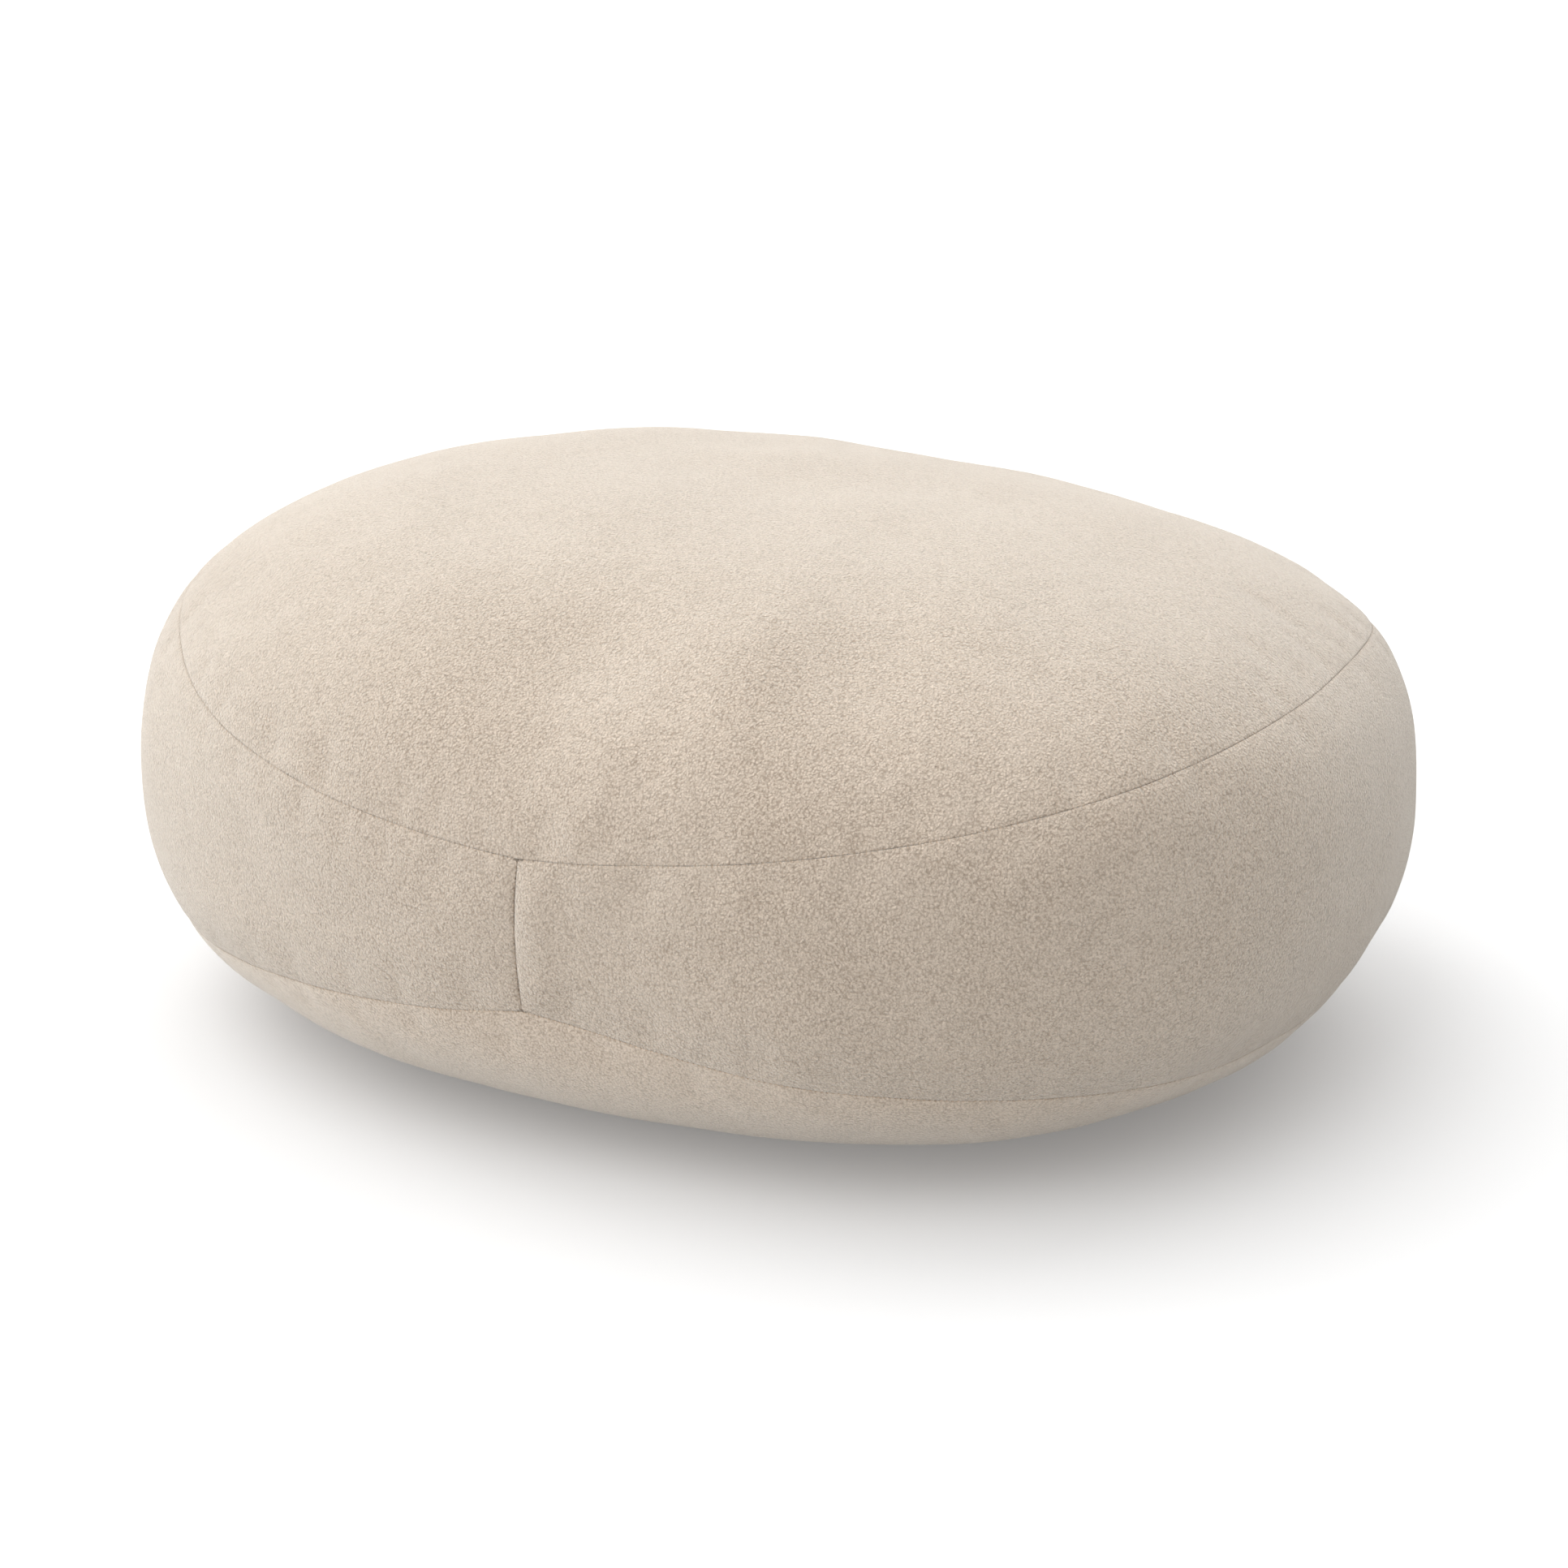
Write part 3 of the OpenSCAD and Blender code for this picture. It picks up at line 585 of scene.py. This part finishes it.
def front_swell(points, turn, rise):
    """How far the band swells on the right of the front seam, and sinks at the seam."""
    on_front = (rise < top_seam(turn)) & (rise > lower_seam(turn)) & (points[:, 1] < 0)
    above_foot = smooth((rise - lower_seam(turn)) / FRONT_FADE)
    below_head = smooth((top_seam(turn) - rise) / FRONT_FADE)
    across = points[:, 0] - skin(np.full(len(turn), FRONT), rise)[:, 0]
    swell = FRONT_SWELL * np.exp(-(((across - FRONT_SWELL_PLACE) / FRONT_SWELL_REACH) ** 2))
    ditch = FRONT_DITCH * np.clip(1 - np.abs(across) / SEAM_ROLL, 0, 1) ** 2
    return np.where(on_front, above_foot * below_head * (swell - ditch), 0)


def layer(name, turn, rise, scale, faces, rims, thickness, start=0.0, marked=False):
    """A closed layer of cloth, from start to start + thickness inside the outer face. rims
    are the open edges of the faces, as pairs of point numbers. A marked layer rolls in at
    its seams and carries its distances from them and along them for its material."""
    outer, normals = face_and_normals(turn, rise, scale, faces)
    # Layers under the cover stand back from the zip
    relief = ZIP_RELIEF * zip_hold(turn, rise) if start else np.zeros(len(outer))
    roll = np.zeros(len(outer))
    if marked:
        edge, run = seam_marks(turn, rise)
        gather = 1 + uneven(outer, GATHER_SIZE, GATHER_SHARE, 11.0)
        roll = SEAM_DEPTH * gather * np.clip(1 - edge / SEAM_ROLL, 0, 1) ** 2
        roll -= front_swell(skin(turn, rise), turn, rise)
    top = outer - normals * (start + roll + relief)[:, None]
    inner = outer - normals * (start + thickness + relief)[:, None]
    top[:, 2] = np.maximum(top[:, 2], start)
    inner[:, 2] = np.maximum(inner[:, 2], start + thickness)
    count = len(outer)
    closed = list(faces)
    closed += [tuple(i + count for i in face[::-1]) for face in faces]
    closed += [(b, a, a + count, b + count) for a, b in rims]
    obj = make_mesh(name, np.concatenate([top, inner]), closed)
    crease_rims(obj.data, rims, count)
    if marked:
        for key, values in (("edge", edge), ("run", run)):
            attribute = obj.data.attributes.new(key, "FLOAT", "POINT")
            attribute.data.foreach_set("value", np.tile(values, 2))
    return obj


def border(faces):
    """Edges that belong to one face only, in that face's direction."""
    seen = {}
    for face in faces:
        for a, b in zip(face, face[1:] + face[:1]):
            if (b, a) in seen:
                del seen[(b, a)]
            else:
                seen[(a, b)] = True
    return list(seen)


def round_panel(name, rings, keep, thickness, start=0.0, marked=False):
    """A layer of the top or the base, from its seam to its middle, or of a band that goes
    all round."""
    turn, rise, scale = rings.flat(keep)
    faces = [tuple(int(i) for i in face) for face in rings.faces(keep)]
    return layer(name, turn, rise, scale, faces, border(faces), thickness, start, marked)


def side_panel(name, rings, first, last):
    """Half of the cover's band, from one column to another, just short of both seams."""
    turns = np.append(rings.turns, rings.turns[0] + 360)[first : last + 1]
    short = math.degrees(math.asin((SEAM_GAP / 2 / HALF_LENGTH) ** (PLAN_POWER / 2)))
    turns[0] += short
    turns[-1] -= short
    rows = [r for r, panel in zip(rings.rise_list, rings.panels) if panel == "band"]
    rises = np.array([np.append(row, row[0])[first : last + 1] for row in rows])
    grid = np.arange(rises.size).reshape(rises.shape)
    corners = (grid[:-1, :-1], grid[:-1, 1:], grid[1:, 1:], grid[1:, :-1])
    faces = [tuple(int(i) for i in face) for face in np.stack(corners, axis=-1).reshape(-1, 4)]
    turn = np.broadcast_to(turns, rises.shape).ravel()
    ones = np.ones(rises.size)
    rises = rises.ravel()
    return layer(name, turn, rises, ones, faces, border(faces), COVER_THICKNESS, marked=True)


def subdivided(obj):
    modifier = obj.modifiers.new("Subdivision", "SUBSURF")
    modifier.levels = 1
    modifier.render_levels = 1
    return obj


HALF = COLUMNS // 2
top_panel = round_panel("cover_top", cover_rings, "top", COVER_THICKNESS, marked=True)
base_panel = round_panel("cover_base", cover_rings, "base", COVER_THICKNESS, marked=True)
band_right = side_panel("cover_band_right", cover_rings, 0, HALF)
band_left = side_panel("cover_band_left", cover_rings, HALF, COLUMNS)
for panel, node in (
    (top_panel, "top_panel"),
    (base_panel, "base_panel"),
    (band_right, "band_right"),
    (band_left, "band_left"),
):
    subdivided(panel)
    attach(panel, "cushion")
    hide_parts(node)


# ---- Sewing thread --------------------------------------------------------------------

STITCH = 3.1 * MM
THREAD_RADIUS = 0.35 * MM
THREAD_SIDES = 6
THREAD_REACH = 1.5 * MM
THREAD_CROSSING_DEPTH = 1.3 * MM
THREAD_BURIED_DEPTH = 2.6 * MM
THREAD_END_MARGIN = 4 * MM
# Points of the thread's path in one wave, which is two stitches
STEPS_A_WAVE = 8


def skin_normal(turn, rise):
    """Directions square to the skin."""
    round_it = skin(turn + 0.2, rise) - skin(turn - 0.2, rise)
    up_it = skin(turn, rise + 0.2) - skin(turn, rise - 0.2)
    normal = np.cross(round_it, up_it)
    return normal / np.linalg.norm(normal, axis=1)[:, None]


def unit(vectors):
    return vectors / np.linalg.norm(vectors, axis=1)[:, None]


def tube(name, path, side_hint, radius, looped):
    """A round thread along a path. side_hint gives a direction that is never along it."""
    if looped:
        tangent = unit(np.roll(path, -1, axis=0) - np.roll(path, 1, axis=0))
    else:
        tangent = unit(np.gradient(path, axis=0))
    first = unit(side_hint - (side_hint * tangent).sum(1)[:, None] * tangent)
    second = np.cross(tangent, first)
    angles = np.arange(THREAD_SIDES) * 2 * math.pi / THREAD_SIDES
    rings = [path + radius * (math.cos(a) * first + math.sin(a) * second) for a in angles]
    points = np.stack(rings, axis=1).reshape(-1, 3)
    count = len(path)
    faces = []
    for k in range(count if looped else count - 1):
        low = k * THREAD_SIDES
        high = (k + 1) % count * THREAD_SIDES
        for j in range(THREAD_SIDES):
            m = (j + 1) % THREAD_SIDES
            faces.append((low + j, low + m, high + m, high + j))
    if not looped:
        faces.append(tuple(range(THREAD_SIDES))[::-1])
        faces.append(tuple((count - 1) * THREAD_SIDES + j for j in range(THREAD_SIDES)))
    return make_mesh(name, points, faces)


def stitched(name, turn, rise, looped):
    """Thread that crosses a seam from side to side, once a stitch."""
    line = moved(turn, rise)
    normal = skin_normal(turn, rise)
    arc = arc_lengths(line)
    waves = int(round(arc[-1] / STITCH / 2))
    stations = np.linspace(0, arc[-1], waves * STEPS_A_WAVE + 1)
    if looped:
        stations = stations[:-1]
    centre = np.stack([np.interp(stations, arc, line[:, k]) for k in range(3)], axis=1)
    out = unit(np.stack([np.interp(stations, arc, normal[:, k]) for k in range(3)], axis=1))
    across = unit(np.cross(np.gradient(centre, axis=0), out))
    swing = np.sin(2 * math.pi * np.arange(len(stations)) / STEPS_A_WAVE)
    depth = THREAD_CROSSING_DEPTH + (THREAD_BURIED_DEPTH - THREAD_CROSSING_DEPTH) * swing**2
    path = centre + across * (THREAD_REACH * swing)[:, None] - out * depth[:, None]
    return tube(name, path, out, THREAD_RADIUS, looped)


ALL_ROUND = np.linspace(FRONT, FRONT + 360, 721)
BUT_ZIP = np.linspace(2 * BACK - OPEN_TURN, OPEN_TURN + 360, 661)


def upright_thread(name, turn):
    """Stitches of an upright seam, which stop short of the level seams and the zip."""
    foot, head = float(lower_seam(np.array(turn))), float(top_seam(np.array(turn)))
    rises = np.linspace(foot, head, 81)
    arc = arc_lengths(skin(np.full_like(rises, turn), rises))
    opening = ZIP_OPENING / 2 if turn == BACK else 0
    inside = np.linspace(THREAD_END_MARGIN + opening, arc[-1] - THREAD_END_MARGIN, 61)
    return stitched(name, np.full_like(inside, turn), np.interp(inside, arc, rises), False)


threads = {
    "top_seam_thread": stitched("stitches_top_seam", ALL_ROUND, top_seam(ALL_ROUND), True),
    "lower_seam_thread": stitched("stitches_lower_seam", BUT_ZIP, lower_seam(BUT_ZIP), False),
    "front_seam_thread": upright_thread("stitches_front_seam", FRONT),
    "back_seam_thread": upright_thread("stitches_back_seam", BACK),
}
for node, thread in threads.items():
    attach(thread, "cushion")
    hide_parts(node)


# ---- Liner and filling ----------------------------------------------------------------

LINER_START = 5 * MM
LINER_THICKNESS = 1 * MM
FILLING_START = 8 * MM
INNER_ROWS = {"disc": 12, "base": 20, "band": 20, "top": 32}
INNER_CLOSE = np.array([0, 6.0]) * MM
INNER_COLUMNS = COLUMNS // 2
INNER_ROOM = 9 * MM
liner_rings = Rings(INNER_COLUMNS, INNER_ROWS, INNER_CLOSE, SEAM_GAP, SEAM_GAP, INNER_ROOM)
for keep in ("top", "band", "base"):
    liner = round_panel("liner_cloth_" + keep, liner_rings, keep, LINER_THICKNESS, LINER_START)
    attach(liner, "cushion")
    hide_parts("liner_" + keep)


def filling_bag():
    """The filling in one closed form, inside the liner."""
    rings = Rings(INNER_COLUMNS, INNER_ROWS, INNER_CLOSE, 0, 0, INNER_ROOM)
    turn, rise, scale = rings.flat()
    faces = rings.faces()
    outer, normals = face_and_normals(turn, rise, scale, faces)
    depth = FILLING_START + ZIP_RELIEF * zip_hold(turn, rise)
    points = outer - normals * depth[:, None]
    points[:, 2] = np.maximum(points[:, 2], FILLING_START)
    return make_mesh("filling_fibre", points, faces)


filling = filling_bag()
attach(filling, "cushion")
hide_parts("filling")


# ---- Materials ------------------------------------------------------------------------


class Shader:
    """Nodes of one material, round its Principled BSDF."""

    def __init__(self, name, colour, roughness, **sockets):
        self.material = bpy.data.materials.new(name)
        self.material.use_nodes = True
        self.tree = self.material.node_tree
        self.bsdf = self.tree.nodes["Principled BSDF"]
        self.bsdf.inputs["Base Color"].default_value = (*colour, 1)
        self.bsdf.inputs["Roughness"].default_value = roughness
        for socket, value in sockets.items():
            self.bsdf.inputs[socket.replace("_", " ")].default_value = value
        self.place = self.node("TexCoord").outputs["Object"]

    def node(self, kind, inputs=(), **settings):
        made = self.tree.nodes.new("ShaderNode" + kind)
        for key, value in settings.items():
            setattr(made, key, value)
        for socket, value in dict(inputs).items():
            if isinstance(value, bpy.types.NodeSocket):
                self.tree.links.new(value, made.inputs[socket])
            else:
                made.inputs[socket].default_value = value
        return made

    def math(self, operation, a, b=0.0):
        return self.node("Math", {0: a, 1: b}, operation=operation).outputs[0]

    def attribute(self, name):
        return self.node("Attribute", attribute_name=name).outputs["Fac"]

    def stretched(self, scale):
        """The place, stretched by a different amount along each axis."""
        return self.node("Mapping", {"Vector": self.place, "Scale": scale}).outputs[0]

    def noise(self, scale, detail=2.0, roughness=0.5, distortion=0.0, place=None):
        inputs = {
            "Vector": place or self.place,
            "Scale": scale,
            "Detail": detail,
            "Roughness": roughness,
            "Distortion": distortion,
        }
        return self.node("TexNoise", inputs).outputs["Fac"]

    def cells(self, scale, smoothness=0.6):
        """Rounded pebbles of about 1 / scale across: 0 in their middles."""
        inputs = {"Vector": self.place, "Scale": scale, "Smoothness": smoothness}
        return self.node("TexVoronoi", inputs, feature="SMOOTH_F1").outputs["Distance"]

    def between(self, value, low, high, to_low=0.0, to_high=1.0):
        """Carries a value from one range to another, holding it at the ends."""
        inputs = {"Value": value, 1: low, 2: high, 3: to_low, 4: to_high}
        return self.node("MapRange", inputs).outputs["Result"]

    def mix(self, share, a, b):
        a, b = ((*c, 1) if isinstance(c, tuple) else c for c in (a, b))
        made = self.node("Mix", {0: share, 6: a, 7: b}, data_type="RGBA")
        return made.outputs[2]

    def colour(self, socket):
        self.tree.links.new(socket, self.bsdf.inputs["Base Color"])

    def roughness(self, socket):
        self.tree.links.new(socket, self.bsdf.inputs["Roughness"])

    def bump(self, height, distance, strength=1.0):
        """Raises the surface, over any bump that is there already."""
        inputs = {"Height": height, "Distance": distance, "Strength": strength}
        made = self.node("Bump", inputs)
        before = self.bsdf.inputs["Normal"].links
        if before:
            self.tree.links.new(before[0].from_socket, made.inputs["Normal"])
        self.tree.links.new(made.outputs["Normal"], self.bsdf.inputs["Normal"])

    def waves(self, axis, period):
        """A sine along an axis, from -1 to 1."""
        part = self.node("SeparateXYZ", {"Vector": self.place}).outputs[axis]
        return self.math("SINE", self.math("MULTIPLY", part, 2 * math.pi / period))

    def put_on(self, *objects):
        for obj in objects:
            obj.data.materials.clear()
            obj.data.materials.append(self.material)


FLEECE = (0.575, 0.482, 0.394)
# Painted shade: the darker colour given to the hollows between the fleece's tufts
FLEECE_HOLLOW_SHADE = (0.33, 0.265, 0.205)
FLEECE_TIP = (0.615, 0.535, 0.455)
SEAM_SHADE = (0.42, 0.28, 0.17)
SEAM_SHADE_SHARE = 0.5
TUFTS_A_METRE = 640
PEBBLES_A_METRE = 700
CLUMPS_A_METRE = 95
PATCHES_A_METRE = 7


def fleece(name, grain):
    """Short fleece: 1.5 mm pebbly tufts with painted shade in their hollows, brushed patches, and
    painted shade dotted along seams at the stitches.
    """
    made = Shader(name, FLEECE, 0.95, Sheen_Weight=1.0, Sheen_Roughness=0.4)
    made.bsdf.inputs["Specular IOR Level"].default_value = 0.15
    made.bsdf.inputs["Sheen Tint"].default_value = (1.0, 0.97, 0.91, 1)
    worms = made.noise(TUFTS_A_METRE, detail=2.5, roughness=0.75, distortion=1.0)
    pebbles = made.cells(PEBBLES_A_METRE, 0.2)
    tufts = made.math("SUBTRACT", worms, made.math("MULTIPLY", pebbles, 0.55))
    clumps = made.noise(CLUMPS_A_METRE, detail=2, roughness=0.5, distortion=0.5)
    patches = made.noise(PATCHES_A_METRE, detail=3, roughness=0.55, distortion=0.6)
    # Painted shade: the hollows between tufts take the darker colour, the tops of the tufts the
    # plain fleece colour
    out_of_hollow_shade = made.between(tufts, 0.0, 0.4)
    coloured = made.mix(out_of_hollow_shade, FLEECE_HOLLOW_SHADE, FLEECE)
    brushed_patches = made.math("MULTIPLY", patches, 0.6)
    brushed = made.math("ADD", brushed_patches, made.math("MULTIPLY", clumps, 0.4))
    coloured = made.mix(made.between(brushed, 0.42, 0.72, 0, 0.3), coloured, FLEECE_TIP)
    edge = made.attribute("edge")
    run = made.attribute("run")
    wave = made.math("SINE", made.math("MULTIPLY", run, 2 * math.pi / STITCH))
    dots = made.between(wave, 0.0, 0.9, 0.1, 1)
    beside = made.between(edge, 0.1 * MM, 1.3 * MM, 1, 0)
    dotted = made.math("MULTIPLY", beside, dots)
    shade = made.math("MULTIPLY", dotted, SEAM_SHADE_SHARE)
    made.colour(made.mix(shade, coloured, SEAM_SHADE))
    made.bump(made.math("MULTIPLY", shade, -1), 0.6 * MM)
    made.bump(clumps, 0.6 * MM, 0.4 * grain)
    made.bump(tufts, 1.6 * MM, grain)
    return made


fleece("fleece_cover", 0.9).put_on(top_panel, band_left, band_right)
fleece("fleece_base", 0.6).put_on(base_panel)


def sewing_thread():
    made = Shader("sewing_thread", (0.66, 0.58, 0.50), 0.6, Sheen_Weight=0.2)
    twist = made.noise(1800, detail=1, distortion=0.5)
    made.colour(made.mix(made.between(twist, 0.35, 0.65), (0.55, 0.48, 0.41), (0.74, 0.67, 0.60)))
    made.bump(twist, 0.15 * MM)
    return made


def cotton(name, colour, deep, pitch):
    """Plain weave of a given thread pitch, with slubs."""
    made = Shader(name, colour, 0.85, Sheen_Weight=0.15)
    over = made.math("MULTIPLY", made.waves("X", pitch), made.waves("Z", pitch))
    slubs = made.noise(60, detail=3)
    made.colour(made.mix(made.between(over, -0.8, 0.8), deep, colour))
    made.bump(made.math("ADD", over, made.math("MULTIPLY", slubs, 0.6)), 0.15 * MM)
    return made


def fibre_filling():
    made = Shader("fibre_filling", (0.85, 0.85, 0.84), 0.9, Sheen_Weight=0.3)
    strands = made.noise(60, detail=6, roughness=0.7, distortion=2.5)
    made.colour(made.mix(strands, (0.70, 0.70, 0.69), (0.92, 0.92, 0.91)))
    made.bump(strands, 3 * MM)
    return made


def zip_tape():
    """Woven tape: fine ribs along it and a herringbone across."""
    made = Shader("zip_tape", (0.72, 0.66, 0.58), 0.75, Sheen_Weight=0.15)
    ribs = made.waves("Z", 0.9 * MM)
    picks = made.waves("X", 0.55 * MM)
    weave = made.math("MULTIPLY", ribs, picks)
    made.colour(made.mix(made.between(weave, -0.7, 0.7), (0.60, 0.54, 0.46), (0.76, 0.70, 0.62)))
    made.bump(weave, 0.12 * MM)
    return made


def moulded_teeth():
    made = Shader("zip_teeth", (0.70, 0.64, 0.56), 0.42, IOR=1.5)
    speckle = made.noise(350, detail=3)
    made.colour(made.mix(made.between(speckle, 0.3, 0.7), (0.66, 0.60, 0.52), (0.73, 0.67, 0.59)))
    made.roughness(made.between(speckle, 0.3, 0.7, 0.36, 0.5))
    made.bump(speckle, 0.05 * MM)
    return made


def brushed_metal(name, colour):
    """Plated zinc with fine brushing and duller handled patches."""
    made = Shader(name, colour, 0.32, Metallic=1.0)
    brushing = made.noise(1, detail=4, place=made.stretched((250, 3500, 3500)))
    handled = made.noise(140, detail=3)
    made.colour(
        made.mix(
            made.between(handled, 0.35, 0.75),
            tuple(0.86 * c for c in colour),
            tuple(min(1.0, 1.06 * c) for c in colour),
        )
    )
    made.roughness(made.between(made.math("ADD", brushing, handled), 0.7, 1.3, 0.24, 0.42))
    made.bump(brushing, 0.03 * MM)
    return made


def satin_label():
    made = Shader("satin_label", (0.90, 0.89, 0.86), 0.4, Sheen_Weight=0.2)
    floats = made.noise(1, detail=2, place=made.stretched((400, 2600, 2600)))
    ribs = made.waves("X", 0.5 * MM)
    made.colour(made.mix(made.between(floats, 0.3, 0.7), (0.84, 0.83, 0.80), (0.93, 0.92, 0.90)))
    made.roughness(made.between(floats, 0.3, 0.7, 0.34, 0.5))
    made.bump(made.math("ADD", floats, made.math("MULTIPLY", ribs, 0.2)), 0.08 * MM)
    return made


sewing_thread().put_on(*threads.values())
cotton("liner_cotton", (0.86, 0.85, 0.82), (0.74, 0.73, 0.70), 1.1 * MM).put_on(
    *(bpy.data.objects["liner_cloth_" + keep] for keep in ("top", "band", "base"))
)
fibre_filling().put_on(filling)
zip_tape().put_on(NODES["zip_tape_upper"], NODES["zip_tape_lower"])
moulded_teeth().put_on(NODES["zip_teeth_upper"], NODES["zip_teeth_lower"])
brushed_metal("zip_nickel", (0.66, 0.65, 0.63)).put_on(
    NODES["zip_slider"], NODES["zip_pull"], NODES["zip_top_stops"], NODES["zip_bottom_stop"]
)
satin_label().put_on(NODES["care_label"])


# ---- Floor, light and camera ----------------------------------------------------------

FLOOR_SIZE = 100.0
WALL_RADIUS = 40.0
WALL_HEIGHT = 16.0
WALL_SINK = 10 * MM
WALL_STEP = 5


def plain(name, colour, glow):
    """A dull stage surface that glows a little, so that it stays pale."""
    made = Shader(name, colour, 0.9)
    made.bsdf.inputs["Specular IOR Level"].default_value = 0.0
    made.bsdf.inputs["Emission Color"].default_value = (1, 1, 1, 1)
    made.bsdf.inputs["Emission Strength"].default_value = glow
    return made


def floor_sheet():
    half = FLOOR_SIZE / 2
    corners = [(-half, -half, 0), (half, -half, 0), (half, half, 0), (-half, half, 0)]
    return make_mesh("floor", corners, [(0, 1, 2, 3)])


def backdrop_ring():
    """A wall far behind the cushion on every side, which only the camera sees."""
    steps = np.radians(np.arange(0, 360, WALL_STEP))
    foot = [(WALL_RADIUS * math.cos(a), WALL_RADIUS * math.sin(a), -WALL_SINK) for a in steps]
    head = [(x, y, WALL_HEIGHT) for x, y, _ in foot]
    count = len(steps)
    after = [(k + 1) % count for k in range(count)]
    faces = [(j, k, k + count, j + count) for k, j in enumerate(after)]
    ring = make_mesh("backdrop", foot + head, faces)
    ring.visible_diffuse = False
    ring.visible_glossy = False
    ring.visible_shadow = False
    return ring


floor = floor_sheet()
plain("pale_floor", (0.52, 0.52, 0.52), glow=0.19).put_on(floor)
wall = backdrop_ring()
plain("backdrop_white", (0.0, 0.0, 0.0), glow=1.0).put_on(wall)

world = bpy.data.worlds.new("studio")
world.use_nodes = True
background = world.node_tree.nodes["Background"]
background.inputs["Color"].default_value = (1, 1, 1, 1)
bpy.context.scene.world = world


def brighter_overhead(low, high):
    """Makes the world glow at one strength at the horizon and another overhead."""
    tree = world.node_tree
    direction = tree.nodes.new("ShaderNodeTexCoord").outputs["Generated"]
    split = tree.nodes.new("ShaderNodeSeparateXYZ")
    tree.links.new(direction, split.inputs["Vector"])
    ramp = tree.nodes.new("ShaderNodeMapRange")
    ramp.interpolation_type = "SMOOTHSTEP"
    tree.links.new(split.outputs["Z"], ramp.inputs["Value"])
    ramp.inputs["To Min"].default_value = low
    ramp.inputs["To Max"].default_value = high
    tree.links.new(ramp.outputs["Result"], background.inputs["Strength"])


brighter_overhead(low=0.05, high=1.4)


def towards(azimuth, elevation):
    """The direction from the cushion to an azimuth and elevation in degrees."""
    a, e = math.radians(azimuth), math.radians(elevation)
    return Vector((math.sin(a) * math.cos(e), -math.cos(a) * math.cos(e), math.sin(e)))


def sun(name, azimuth, elevation, strength, softness):
    """A soft white light, far off in the direction of an azimuth and elevation."""
    light = bpy.data.lights.new(name, "SUN")
    light.energy = strength
    light.angle = math.radians(softness)
    obj = bpy.data.objects.new(name, light)
    bpy.context.scene.collection.objects.link(obj)
    obj.rotation_euler = towards(azimuth, elevation).to_track_quat("Z", "Y").to_euler()


sun("key", azimuth=210, elevation=38, strength=2.3, softness=95)
sun("side", azimuth=305, elevation=35, strength=3.0, softness=95)

CAMERA_AZIMUTH = 25.88
CAMERA_ELEVATION = 18.47
CAMERA_DISTANCE = 1.936
CAMERA_TARGET = Vector((0, 0, HEIGHT / 2))

back = towards(CAMERA_AZIMUTH, CAMERA_ELEVATION)
lens = bpy.data.cameras.new("camera")
lens.lens = 70
lens.sensor_width = 36
lens.shift_x = 0.0078
lens.shift_y = -0.0305
camera = bpy.data.objects.new("camera", lens)
camera.location = CAMERA_TARGET + back * CAMERA_DISTANCE
camera.rotation_euler = back.to_track_quat("Z", "Y").to_euler()
bpy.context.scene.collection.objects.link(camera)
bpy.context.scene.camera = camera
bpy.context.scene.view_settings.view_transform = "Standard"
